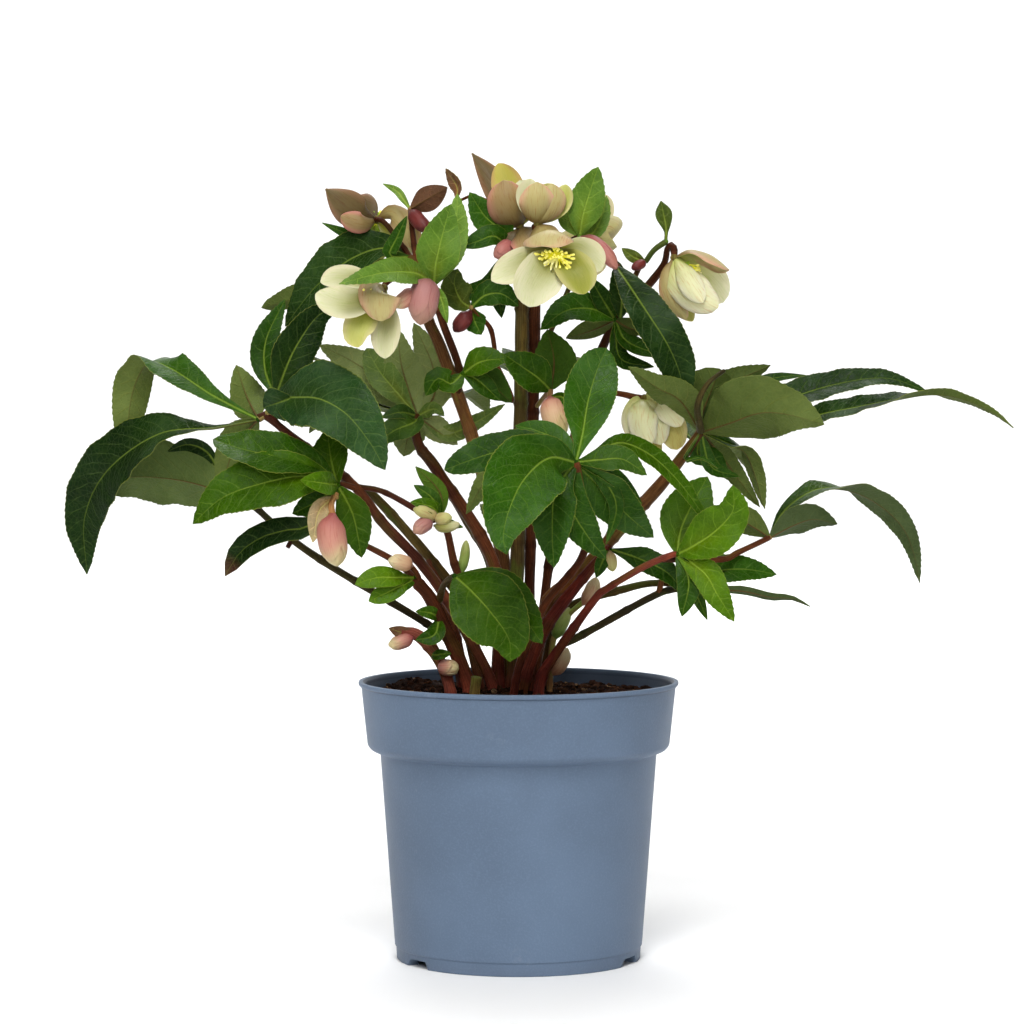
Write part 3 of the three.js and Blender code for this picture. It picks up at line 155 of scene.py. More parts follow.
def makePiece(name, heap, finishes, nodes, sharp=60):
    # One mesh out of the heap, with the finishes that its faces use and the surface values as attributes.
    mesh = bpy.data.meshes.new(name)
    faces = np.concatenate(heap["quads"]).tolist() + np.concatenate(heap["fans"]).tolist()
    mesh.from_pydata((np.concatenate(heap["points"]) * toMetres).tolist(), [], faces)
    kinds = np.concatenate(heap["quadKinds"] + heap["fanKinds"]).astype(int)
    used = np.unique(kinds)
    mesh.polygons.foreach_set("material_index", np.searchsorted(used, kinds).astype(np.int32))
    mesh.polygons.foreach_set("use_smooth", np.ones(len(kinds), bool))
    for index in used:
        mesh.materials.append(finishes[index])
    for layerName in ("where", "tone"):
        values = mesh.attributes.new(layerName, "FLOAT_VECTOR", "POINT")
        values.data.foreach_set("vector", np.concatenate(heap[layerName]).astype(np.float32).ravel())
    paint = np.concatenate(heap["paint"])
    colours = mesh.attributes.new("paint", "FLOAT_COLOR", "POINT")
    opaque = np.hstack([paint, np.ones((len(paint), 1))])
    colours.data.foreach_set("color", opaque.astype(np.float32).ravel())
    mesh.update()
    mesh.set_sharp_from_angle(angle=math.radians(sharp))
    piece = bpy.data.objects.new(name, mesh)
    bpy.context.scene.collection.objects.link(piece)
    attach(piece, "root")
    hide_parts(*nodes)
    return piece


def newFinish(name, roughness, specular):
    material = bpy.data.materials.new(name)
    material.use_nodes = True
    tree = material.node_tree
    shader = next(node for node in tree.nodes if node.type == "BSDF_PRINCIPLED")
    shader.inputs["Roughness"].default_value = roughness
    shader.inputs["Specular IOR Level"].default_value = specular
    return material, tree, shader


def feed(tree, socket, value):  # a link where the value is a socket, else its own number or colour
    if isinstance(value, bpy.types.NodeSocket):
        tree.links.new(value, socket)
    elif socket.type == "RGBA":
        socket.default_value = (*[float(level) for level in value], 1)
    else:
        socket.default_value = value


def calc(tree, operation, first, second=0.0, third=0.0):
    node = tree.nodes.new("ShaderNodeMath")
    node.operation = operation
    for socket, value in zip(node.inputs, (first, second, third)):
        feed(tree, socket, value)
    return node.outputs[0]


def times(tree, first, second):
    return calc(tree, "MULTIPLY", first, second)


def timesPlus(tree, first, second, third):  # first * second + third
    return calc(tree, "MULTIPLY_ADD", first, second, third)


def rise(tree, value, low, high, fromLow=0.0, fromHigh=1.0, soft=True):
    # The value's stretch from low to high, carried to fromLow..fromHigh.
    node = tree.nodes.new("ShaderNodeMapRange")
    node.interpolation_type = "SMOOTHSTEP" if soft else "LINEAR"
    for name, number in (("From Min", low), ("From Max", high), ("To Min", fromLow), ("To Max", fromHigh)):
        node.inputs[name].default_value = number
    feed(tree, node.inputs["Value"], value)
    return node.outputs["Result"]


def mixed(tree, share, first, second, way="MIX"):
    node = tree.nodes.new("ShaderNodeMix")
    node.data_type, node.blend_type = "RGBA", way
    for index, value in ((0, share), (6, first), (7, second)):
        feed(tree, node.inputs[index], value)
    return node.outputs[2]


def tinted(tree, colour, factors):  # the colour with its red, green and blue multiplied
    return mixed(tree, 1.0, colour, factors, "MULTIPLY")


def layer(tree, name, output="Vector"):
    node = tree.nodes.new("ShaderNodeAttribute")
    node.attribute_name = name
    return node.outputs[output]


def parts(tree, vector):
    node = tree.nodes.new("ShaderNodeSeparateXYZ")
    feed(tree, node.inputs[0], vector)
    return node.outputs[0], node.outputs[1], node.outputs[2]


def joined(tree, x, y, z=0.0):
    node = tree.nodes.new("ShaderNodeCombineXYZ")
    for socket, value in zip(node.inputs, (x, y, z)):
        feed(tree, socket, value)
    return node.outputs[0]


def stretched(tree, x, xScale, y, yScale):  # two of a surface's measures, each drawn out by its own scale
    return joined(tree, times(tree, x, xScale), times(tree, y, yScale))


def clouds(tree, vector, scale, detail=3.0, rough=0.55):
    node = tree.nodes.new("ShaderNodeTexNoise")
    feed(tree, node.inputs["Vector"], vector)
    for name, number in (("Scale", scale), ("Detail", detail), ("Roughness", rough)):
        node.inputs[name].default_value = number
    return node.outputs[0]


def cellEdges(tree, vector, scale):
    node = tree.nodes.new("ShaderNodeTexVoronoi")
    node.feature = "DISTANCE_TO_EDGE"
    feed(tree, node.inputs["Vector"], vector)
    node.inputs["Scale"].default_value = scale
    return node.outputs["Distance"]


def ownPlace(tree):
    return tree.nodes.new("ShaderNodeTexCoord").outputs["Object"]


def relief(tree, shader, height, depth):  # a bump of that depth, in metres
    node = tree.nodes.new("ShaderNodeBump")
    node.inputs["Distance"].default_value = depth
    feed(tree, node.inputs["Height"], height)
    tree.links.new(node.outputs[0], shader.inputs["Normal"])


def paintWith(tree, shader, colour, roughness=None):
    tree.links.new(colour, shader.inputs["Base Color"])
    if roughness is not None:
        tree.links.new(roughness, shader.inputs["Roughness"])


# Lengths are in millimetres along the leaf, depths in metres, and shares run from 0 to 1.
veinLook = {"pitch": 9, "slant": 0.5, "curve": 1.3, "otherHalf": 0.43, "wander": 7.0, "wanderScale": 0.09,
            "faintScale": 0.14, "netScale": 0.36, "netWidth": 0.13}


def veinLines(tree, thin):
    # Side veins leave the midrib every pitch and slant forward: the phase is
    # (along - slant * |across| ^ curve) / pitch, off by part of a step on the other half and made to wander,
    # and they thin out towards the margin. The midrib tapers to the tip. Between them runs a net of cells.
    # Returned as (side veins, midrib, net), each 0..1.
    across, along, share = parts(tree, layer(tree, "where"))
    chance, edge, _ = parts(tree, layer(tree, "tone"))
    flat = joined(tree, across, along, times(tree, chance, 90.0))
    wander = clouds(tree, flat, veinLook["wanderScale"], 2.0)
    reach = calc(tree, "ABSOLUTE", across)
    other = times(tree, calc(tree, "GREATER_THAN", across, 0.0), veinLook["otherHalf"])
    phase = timesPlus(tree, calc(tree, "POWER", reach, veinLook["curve"]), -veinLook["slant"], along)
    phase = timesPlus(tree, wander, veinLook["wander"], phase)
    turn = calc(tree, "FRACT", timesPlus(tree, phase, 1 / veinLook["pitch"], other))
    near = calc(tree, "ABSOLUTE", calc(tree, "SUBTRACT", turn, 0.5))
    faint = times(tree, rise(tree, edge, 1.0, 0.45, 0.25, 1.0),
                  rise(tree, clouds(tree, flat, veinLook["faintScale"], 2.0), 0.3, 0.6, 0.35, 1.0))
    side = times(tree, rise(tree, near, thin, 0.0), faint)
    slender = timesPlus(tree, share, -0.85, 1.15)
    rib = times(tree, rise(tree, calc(tree, "DIVIDE", reach, slender), 1.0, 0.2),
                rise(tree, share, 1.0, 0.3, 0.3, 1.0))
    warped = joined(tree, timesPlus(tree, wander, 5.0, across), timesPlus(tree, wander, -4.0, along))
    net = rise(tree, cellEdges(tree, warped, veinLook["netScale"]), veinLook["netWidth"], 0.0)
    return side, rib, net


leafTopLook = {"gloss": 0.34, "specular": 0.07, "veinWidth": 0.085, "sheen": 0.28, "grain": 700,
               "shadow": (0.66, 0.7, 0.6), "warmth": (1.75, 1.25, 0.6), "paintedSheenTint": (2.2, 1.6, 3.0),
               "veinTint": (2.2, 1.8, 1.9), "wax": (86, 116, 72), "vein": (160, 184, 100),
               "rib": (150, 172, 60), "margin": (140, 146, 60), "veinDepth": 0.0004}


def leafTopFinish():
    # Leathery and glossy: paler sunk veins, a net between them, a thin yellowish margin, soft mottling, a
    # warmer green towards the foot and midrib, and a painted sheen in patches, washed towards a pale bluish
    # green.
    look = leafTopLook
    material, tree, shader = newFinish("leafTop", look["gloss"], look["specular"])
    side, rib, net = veinLines(tree, look["veinWidth"])
    edge = parts(tree, layer(tree, "tone"))[1]
    share = parts(tree, layer(tree, "where"))[2]
    paint = layer(tree, "paint", "Color")
    spot = ownPlace(tree)
    mottle = clouds(tree, spot, 70, 5.0, 0.65)
    grain = rise(tree, cellEdges(tree, spot, look["grain"]), 0.2, 0.0)
    inward = times(tree, rise(tree, edge, 0.75, 0.0), rise(tree, share, 0.75, 0.1))
    warm = mixed(tree, times(tree, inward, 0.75), paint, tinted(tree, paint, look["warmth"]))
    body = mixed(tree, rise(tree, mottle, 0.34, 0.66), tinted(tree, warm, look["shadow"]), warm)
    # Painted sheen: in soft patches the colour is washed towards a pale bluish grey-green, standing in for
    # reflections.
    paintedSheenShare = rise(tree, clouds(tree, spot, 32, 3.0), 0.48, 0.72, 0.0, look["sheen"])
    wax = mixed(tree, 0.5, tinted(tree, paint, look["paintedSheenTint"]), linear(look["wax"]))
    vein = mixed(tree, 0.15, tinted(tree, paint, look["veinTint"]), linear(look["vein"]))
    netted = mixed(tree, times(tree, net, 0.14), mixed(tree, paintedSheenShare, body, wax), vein)
    veined = mixed(tree, times(tree, side, 0.5), netted, vein)
    ribbed = mixed(tree, times(tree, rib, 0.72), veined, mixed(tree, 0.4, vein, linear(look["rib"])))
    edged = mixed(tree, rise(tree, edge, 0.965, 1.0, 0.0, 0.5), ribbed, linear(look["margin"]))
    paintWith(tree, shader, edged, timesPlus(tree, clouds(tree, spot, 40, 4.0), 0.3, look["gloss"] - 0.16))
    sunk = timesPlus(tree, rib, -0.9, times(tree, side, -0.6))
    height = timesPlus(tree, net, -0.35, timesPlus(tree, grain, -0.1, sunk))
    relief(tree, shader, timesPlus(tree, mottle, 0.9, height), look["veinDepth"])
    return material


leafBackLook = {"roughness": 0.6, "specular": 0.08, "veinWidth": 0.09, "shadow": (0.74, 0.76, 0.66),
                "netTint": (1.3, 1.22, 1.1), "veinTint": (1.35, 1.2, 1.0), "rib": (92, 68, 36),
                "veinDepth": 0.0005}


def leafBackFinish():
    # Matt and greyer, with raised veins, a brownish midrib and the net showing.
    look = leafBackLook
    material, tree, shader = newFinish("leafBack", look["roughness"], look["specular"])
    side, rib, net = veinLines(tree, look["veinWidth"])
    paint = layer(tree, "paint", "Color")
    mottle = clouds(tree, ownPlace(tree), 60, 5.0, 0.6)
    body = mixed(tree, rise(tree, mottle, 0.3, 0.7), tinted(tree, paint, look["shadow"]), paint)
    netted = mixed(tree, times(tree, net, 0.28), body, tinted(tree, paint, look["netTint"]))
    veined = mixed(tree, times(tree, side, 0.5), netted, tinted(tree, paint, look["veinTint"]))
    ribbed = mixed(tree, times(tree, rib, 0.8), veined, linear(look["rib"]))
    paintWith(tree, shader, ribbed, timesPlus(tree, mottle, 0.2, look["roughness"] - 0.1))
    raised = timesPlus(tree, side, 0.6, rib)
    relief(tree, shader, timesPlus(tree, net, 0.3, raised), look["veinDepth"])
    return material


petalLook = {"streaks": 1.5, "streakLength": 0.13, "roughness": 0.42, "specular": 0.22, "letIn": 0.12,
             "letInReach": (0.004, 0.003, 0.0015), "blotch": (0.84, 0.86, 0.74), "relief": 0.0003}


def petalFinish(name, streakTint, strength):
    # Thin and waxy: fine veins fan out along the sepal, over the painted blush, with a little light let in.
    look = petalLook
    material, tree, shader = newFinish(name, look["roughness"], look["specular"])
    across, along, _ = parts(tree, layer(tree, "where"))
    chance = parts(tree, layer(tree, "tone"))[0]
    paint = layer(tree, "paint", "Color")
    drawn = joined(tree, times(tree, across, look["streaks"]), times(tree, along, look["streakLength"]),
                   chance)
    grain = clouds(tree, drawn, 1.0, 3.0, 0.6)
    lined = mixed(tree, times(tree, rise(tree, grain, 0.5, 0.72), strength), paint,
                  tinted(tree, paint, streakTint))
    blotch = rise(tree, clouds(tree, ownPlace(tree), 90, 3.0), 0.35, 0.8, 0.0, 0.3)
    paintWith(tree, shader, mixed(tree, blotch, lined, tinted(tree, lined, look["blotch"])),
              timesPlus(tree, grain, 0.15, look["roughness"] - 0.07))
    shader.inputs["Subsurface Weight"].default_value = look["letIn"]
    shader.inputs["Subsurface Radius"].default_value = look["letInReach"]
    shader.inputs["Subsurface Scale"].default_value = 1.0
    relief(tree, shader, grain, look["relief"])
    return material


stalkLook = {"roughness": 0.45, "specular": 0.06, "olive": (0.9, 1.6, 0.8), "pale": (1.6, 1.45, 1.25),
             "groove": (0.6, 0.55, 0.55), "ring": (0.5, 0.45, 0.5), "fleck": (2.0, 1.9, 1.7),
             "relief": 0.0006}


def stalkFinish():
    # Ribbed lengthwise with small pale flecks, darker rings where the skin has folded, stretches that turn
    # olive, painted highlights in pale stretches, and painted shade darkening the grooves between the ribs.
    look = stalkLook
    material, tree, shader = newFinish("stalk", look["roughness"], look["specular"])
    across, along, _ = parts(tree, layer(tree, "where"))
    chance = parts(tree, layer(tree, "tone"))[0]
    paint = layer(tree, "paint", "Color")
    ribs = clouds(tree, stretched(tree, across, 1.5, along, 0.06), 1.0, 2.0)
    flecks = clouds(tree, stretched(tree, across, 1.1, along, 0.5), 1.3, 3.0)
    rings = clouds(tree, stretched(tree, across, 0.08, along, 0.75), 1.0, 3.0)
    spell = clouds(tree, joined(tree, times(tree, across, 0.12), times(tree, along, 0.035),
                                times(tree, chance, 60.0)), 1.0, 2.0)
    olive = mixed(tree, rise(tree, spell, 0.52, 0.66, 0.0, 0.75), paint, tinted(tree, paint, look["olive"]))
    # Painted highlight: pale stretches along the stalk stand in for light catching it.
    skin = mixed(tree, rise(tree, spell, 0.46, 0.34, 0.0, 0.7), olive, tinted(tree, paint, look["pale"]))
    # Painted shade: the colour darkens where the ribs sink, as if shade lay in the grooves.
    paintedGrooveShaded = mixed(tree, rise(tree, ribs, 0.35, 0.65), tinted(tree, skin, look["groove"]), skin)
    ringed = mixed(tree, rise(tree, rings, 0.58, 0.75, 0.0, 0.55), paintedGrooveShaded, tinted(tree, skin, look["ring"]))
    flecked = mixed(tree, rise(tree, flecks, 0.6, 0.74, 0.0, 0.5), ringed, tinted(tree, skin, look["fleck"]))
    paintWith(tree, shader, flecked, rise(tree, flecks, 0.3, 0.8, 0.36, 0.56, soft=False))
    relief(tree, shader, calc(tree, "ADD", ribs, times(tree, rings, 0.8)), look["relief"])
    return material


threadLook = {"roughness": 0.6, "specular": 0.15, "glow": 0.16, "shadow": (0.78, 0.76, 0.6), "relief": 0.0002}


def threadFinish():
    # Stamens and nectaries: painted, with a powdery grain, and a faint painted glow standing in for light let
    # through.
    look = threadLook
    material, tree, shader = newFinish("stamenThread", look["roughness"], look["specular"])
    grain = clouds(tree, ownPlace(tree), 1500, 2.0)
    paint = layer(tree, "paint", "Color")
    dark = tinted(tree, paint, look["shadow"])
    paintWith(tree, shader, mixed(tree, rise(tree, grain, 0.3, 0.7), dark, paint))
    # Painted light: the threads glow faintly in their own paint, though they are no lamp.
    tree.links.new(paint, shader.inputs["Emission Color"])
    shader.inputs["Emission Strength"].default_value = look["glow"]
    relief(tree, shader, grain, look["relief"])
    return material


plantFinishes = [leafTopFinish(), leafBackFinish(), stalkFinish(),
                 petalFinish("sepalFace", (0.78, 0.9, 0.6), 0.55),
                 petalFinish("sepalBack", (0.86, 0.62, 0.55), 0.85),
                 petalFinish("budSkin", (0.8, 0.52, 0.5), 0.75), threadFinish()]
topKind, backKind, stalkKind, faceKind, outsideKind, budKind, threadKind = range(7)
print("finishes of the plant made")

# The plant's pieces, by the node that each stands for. A place is [across, up, depth]. In runs the radius of
# the stalk follows it, and in blades and sepals the turn in degrees, where a place without one keeps the
# turn before. A blade is [outline and marks, half width, places from the heart out], and an extra blade
# has its own heart first. A sepal is [hue and marks, half width, cupping, places], and a bud
# [hue, radius, places]. runTints gives single runs, by number, a tint of their own.
stems = {
    "stem_left_long": {"finish": "darkStem",
        "runs": [[[-14, 147, -8, 3.4], [-18, 168, -10, 3.4], [-42, 212, -20, 3.1], [-60, 237, -27, 3],
            [-80, 258, -34, 3], [-97, 280, -40, 2.8], [-118, 298, -30, 2.4], [-132, 308, -27, 2.4],
            [-150, 322, -27, 2.2]], [[-96, 279, -41, 2], [-106, 282, -49, 1.6]], [[-95, 280, -39, 1.6],
            [-80, 277, -38, 1.7], [-60, 266, -33, 1.8], [-53, 260, -31, 1.8]]]},
    "stem_left_olive": {"finish": "oliveStem",
        "runs": [[[-21, 147, 6, 3], [-24, 168, 4, 3], [-32, 200, 2, 3], [-40, 222, -1, 3],
            [-83, 272, -16, 2.8], [-98, 281, -20, 2.4], [-118, 298, -14, 2.2], [-132, 308, -12, 2.2],
            [-145, 320, -14, 2.2], [-144, 331, -19, 2]]]},
    "stem_left_short": {"finish": "redStem", "heart": [-47, 202, -32],
        "runTints": {2: "oliveStem"},
        "runs": [[[-26, 147, -18, 4.2], [-31, 166, -20, 4.2], [-40, 188, -26, 4.2], [-52, 213, -34, 4],
            [-60, 223, -37, 3.4]], [[-59, 222, -36, 2], [-72, 235, -31, 2], [-98, 249, -27, 1.6]],
            [[-47, 213, -33, 2.2], [-44, 222, -50, 1.9], [-38.5, 227, -69, 1.7]], [[-58, 221, -36, 1.6],
            [-60, 228, -41, 1.5], [-64, 233, -44, 1.6]]],
        "blades": [["plain", 4, [-52, 205, -38, -20], [-61, 206, -41]], ["plain", 5.5,
            [-50, 192, -40, -10], [-61, 189, -42]]],
        "buds": [["peach", 4.6, [-63, 233, -44], [-69, 235, -48], [-77, 236.5, -50]]]},
    "stem_left_low": {"finish": "darkStem",
        "runTints": {0: "darkOlive", 2: "darkStem", 3: "stubGreen"},
        "runs": [[[-33, 147, 12, 2.3], [-36, 172, 10, 2.3], [-42, 190, 9, 2.3], [-110, 232, 2, 2.3],
            [-136, 250, 2, 2.2], [-156, 268, 4, 2]], [[-134, 249, 2, 1.6], [-137, 244, 0, 1.4]],
            [[-30, 147, 6, 3.4], [-37, 189, 4, 3.4], [-46, 219, 0, 3], [-53, 238, -6, 2.6]],
            [[-27, 150, -40, 3.2], [-25, 167, -42, 3.2]]]},
    "stem_middle": {"finish": "redStem",
        "runs": [[[-8, 147, 3, 3.8], [-12, 168, 1, 3.8], [-14, 232, 0, 3.8], [-47, 288, -4, 3.5],
            [-58, 303, -2, 3.1], [-61, 314, 6, 2.6], [-60, 320, 11, 2.2]], [[-14, 195, -1, 2.4],
            [-35, 226, -15, 2.4], [-42, 252, -26, 2.2], [-46, 261, -30, 1.7]]],
        "buds": [["green", 3, [-35, 227, -15], [-32, 238, -13], [-31, 248, -12]]]},
    "stem_flower_left": {"finish": "redStem",
        "runTints": {0: "brownStem"},
        "runs": [[[-5, 147, 14, 4], [-8, 225, 12, 4], [-12, 250, 11, 4], [-26, 305, 3, 4],
            [-45, 360, -7, 3.5], [-53, 378, -11, 3.4], [-58, 397, -13, 2.8], [-62, 413, -10, 2.3]],
            [[-36, 336, -4, 2.3], [-35, 350, -11, 2.3], [-45, 378, -24, 2.3], [-50, 398, -41, 2]],
            [[-60, 408, -11, 1.8], [-63.5, 438.5, -4.5, 1.5]], [[-61, 412, -10, 1.5], [-78, 435, 3, 1.5],
            [-84, 438, 8, 1.5]], [[-57, 396, -13, 1.8], [-64, 403, -32, 1.6], [-72, 404, -48, 1.6],
            [-79, 400, -57, 1.6]]]},
    "stem_flower_centre": {"finish": "redStem",
        "runTints": {0: "oliveStem"},
        "runs": [[[-4, 147, -3, 4.4], [0, 258, -4, 4.2], [2, 390, -8, 4], [-1, 418, -9, 3.6],
            [1, 430, -9, 3]], [[5, 147, 8, 3], [8.6, 330, 5, 3.5], [9, 385, 0, 4], [10, 402, -3, 3.6],
            [12, 418, -12, 3], [10, 433, -29, 2.2]], [[1, 385, -7, 3.4], [9, 398, -2, 3.4],
            [12, 408, -5, 3]], [[12, 412, -9, 2], [18, 422, -24, 1.8], [23, 429, -42, 1.7],
            [24, 428, -58, 1.7]], [[12, 412, -8, 2], [31, 425.5, -15.5, 1.6]]]},
    "stem_flower_right": {"finish": "redStem",
        "runs": [[[12, 147, 22, 2.8], [14, 200, 22, 2.8], [22, 260, 20, 2.8], [33, 310, 16, 2.7],
            [44, 348, 6, 2.6], [52, 368, -2, 2.6], [60, 386, -12, 2.8], [58, 409, -26, 2.2]],
            [[60, 385, -12, 2.3], [68, 390, -13, 2.3], [79, 402, -15, 2.4], [86, 412, -20, 2],
            [88, 421, -25, 1.8], [91, 423, -29, 1.8], [92, 419, -30, 2]], [[39, 333, 10, 1.6],
            [50, 336, -3, 1.6], [61, 335, -16, 1.8], [73, 332, -24, 2.2]], [[60, 386, -12, 1.6],
            [71, 409, -27, 1.6]]]},
    "stem_right_brown": {"finish": "oliveStem",
        "runTints": {0: "brownStem"},
        "runs": [[[8, 147, -13, 4], [9, 168, -14, 4], [16, 208, -18, 4], [28, 222, -20, 4],
            [40, 232, -22, 4], [60, 255, -24, 4], [85, 282, -24, 3.8], [106, 310, -26, 2.6]],
            [[13, 147, 0, 2.6], [17, 180, -2, 2.6], [28, 207, -5, 2.6], [65, 220, -13, 2.3],
            [84, 223, -17, 2], [101, 221, -24, 1.8]], [[9, 140, -12, 3], [12, 150, -6, 3],
            [15, 165, -1, 2.4]]]},
    "stem_right_short": {"finish": "pinkStem",
        "runs": [[[0, 147, -22, 4.4], [3, 166, -23, 4.4], [18, 200, -30, 4], [52, 242, -40, 2.4]]]},
    "stem_right_red": {"finish": "pinkStem",
        "runTints": {1: "darkOlive", 3: "redStem"},
        "runs": [[[11, 147, -31, 3.6], [13, 165, -33, 3.4], [20, 178, -36, 3], [45, 213, -45, 2.3],
            [53, 220, -48, 2.1], [75, 233, -54, 2], [92, 240, -57, 1.8]], [[25, 186, -37, 2.3],
            [34, 190, -32, 2.3], [45, 196, -29, 2.3], [84, 217, -28, 2.1], [100, 219, -30, 1.7]],
            [[83, 216, -28, 1.8], [85, 225, -30, 1.6]], [[84, 237, -56, 1.8], [120, 237, -27, 1.8],
            [130, 241, -19, 1.8], [147, 249, -10, 1.6]]]},
    "stem_front": {"finish": "redStem",
        "runs": [[[-4, 147, -34, 2.4], [0, 172, -37, 2.4], [9, 195, -44, 2.4], [17, 212, -51, 2.3],
            [37, 237, -70, 2.2], [40, 256, -84, 2.2], [35, 291, -104, 2]]]},
    "stems_back": {"finish": "oliveStem",
        "runs": [[[-12, 147, 25, 3], [-13, 200, 22, 3], [-17, 235, 24, 3], [-32, 262, 38, 2.8],
            [-47, 288, 62, 2.6], [-58, 303, 76, 2.4], [-62, 318, 84, 2.2]], [[-4, 147, 34, 3],
            [-2, 200, 30, 3], [0, 260, 32, 2.8], [1, 300, 42, 2.6], [1, 330, 56, 2.4], [2, 343, 64, 2.2]],
            [[6, 147, 30, 3], [14, 205, 30, 3], [28, 222, 34, 2.8], [40, 232, 40, 2.8],
            [60, 255, 52, 2.6], [85, 282, 74, 2.4], [103, 305, 95, 2.2]], [[0, 240, 31, 2],
            [3, 250, 42, 1.8], [4, 256, 52, 1.8]], [[-14, 150, 25, 3], [-4, 150, 33, 3], [8, 150, 30, 3]],
            [[1, 334, 58, 1.8], [16, 365, 64, 1.6], [30, 398, 62, 1.6], [42, 424, 52, 1.6],
            [45, 430, 46, 1.8]]]},
    "shoot_left": {"finish": "pinkStem", "heart": [-61, 191, -26],
        "runTints": {0: "roseStem"},
        "runs": [[[-38, 147, -14, 3.2], [-42, 165, -17, 3.4], [-47, 177, -19, 3.6], [-54, 187, -22, 3.8],
            [-62, 193, -26, 3.6], [-70, 194, -29, 2.6]]],
        "blades": [["plain brownBract", 4, [-68, 193, -30, 0], [-77, 196, -32]]],
        "buds": [["pink", 4.3, [-62, 191, -27], [-71, 187.5, -30], [-77, 186, -31]], ["pink", 4.8,
            [-46, 173, -20], [-42, 172.5, -26], [-36, 172, -30]]],
        "extraBlades": [[[-52, 180, -24], ["plain", 3.5, [-48, 180, -28, 30], [-40, 181, -30]]]]},
}

buds = {
    "buds_left_top": {"finish": "bud",
        "buds": [["mauve", 8.5, [-53, 402, -52], [-56, 392, -60], [-58, 376.5, -60]], ["pink", 4.6,
            [-61, 397, -58], [-67, 391, -62], [-74, 387, -62]]]},
    "bud_centre": {"finish": "youngLeaf", "heart": [19, 337, -43],
        "blades": [["small", 11, [12, 344, -49, -15], [2, 351, -52, -20], [-9, 358.5, -52]],
            ["medium", 13.5, [21, 355, -38, 180], [17, 373, -34]]],
        "runs": [[[19, 337, -42, 1.6], [15, 333, -24, 1.5], [11, 328, -11, 1.4]], [[19, 337, -43, 1.6],
            [18.5, 331, -51, 2]]],
        "buds": [["flushed", 7.2, [18.5, 333, -49], [21, 322, -57], [25, 309, -60]]],
        "extraBlades": [[[18.5, 333, -50], ["plain", 2.8, [26, 333, -55, 0], [30, 325, -62]]]]},
    "bud_left_large": {"finish": "bud", "heart": [-108, 274, -57],
        "buds": [["pink", 8.2, [-110, 264, -64], [-111, 252, -68], [-107.5, 233.5, -68]]],
        "runs": [[[-108, 276, -56, 1.8], [-111, 270, -60, 1.9], [-110.5, 262, -64, 2.6]]],
        "blades": [["plain", 5.5, [-118, 266, -64, 0], [-122, 247, -68]]]},
    "buds_cluster": {"finish": "youngLeaf", "heart": [-46, 262, -31],
        "blades": [["plain", 5.5, [-47, 277, -26, 160], [-61, 292, -24]], ["plain", 5,
            [-52, 268, -38, -40], [-64, 271, -42]], ["plain", 3, [-41, 258, -38, 30], [-33, 256, -40]],
            ["plain", 4.5, [-51, 273, -33, -20], [-62, 281, -34]]],
        "buds": [["cream", 3.8, [-48, 261, -33], [-56, 265, -40], [-62, 267, -42]], ["cream", 3.8,
            [-47, 261, -32], [-45, 261, -40], [-40, 262, -44]], ["mauve", 4.4, [-52, 260, -34],
            [-57, 257, -40], [-62, 253, -43]], ["olive", 3.2, [-50, 257, -34], [-43, 256, -40],
            [-35, 258, -42]]]},
    "buds_low_right": {"finish": "bud",
        "buds": [["peach", 5, [19, 168, -15], [24, 175, -13], [29, 184, -13]], ["green", 4.2,
            [21, 189, -16], [25, 198, -16], [30, 208, -16]], ["peach", 4.4, [38, 210, -22],
            [43, 217, -24], [46, 226, -24]]],
        "runs": [[[18, 147, -16, 1.8], [19, 170, -15, 1.8], [21, 190, -16, 1.8], [30, 204, -17, 1.5],
            [39, 212, -22, 1.6]]]},
}

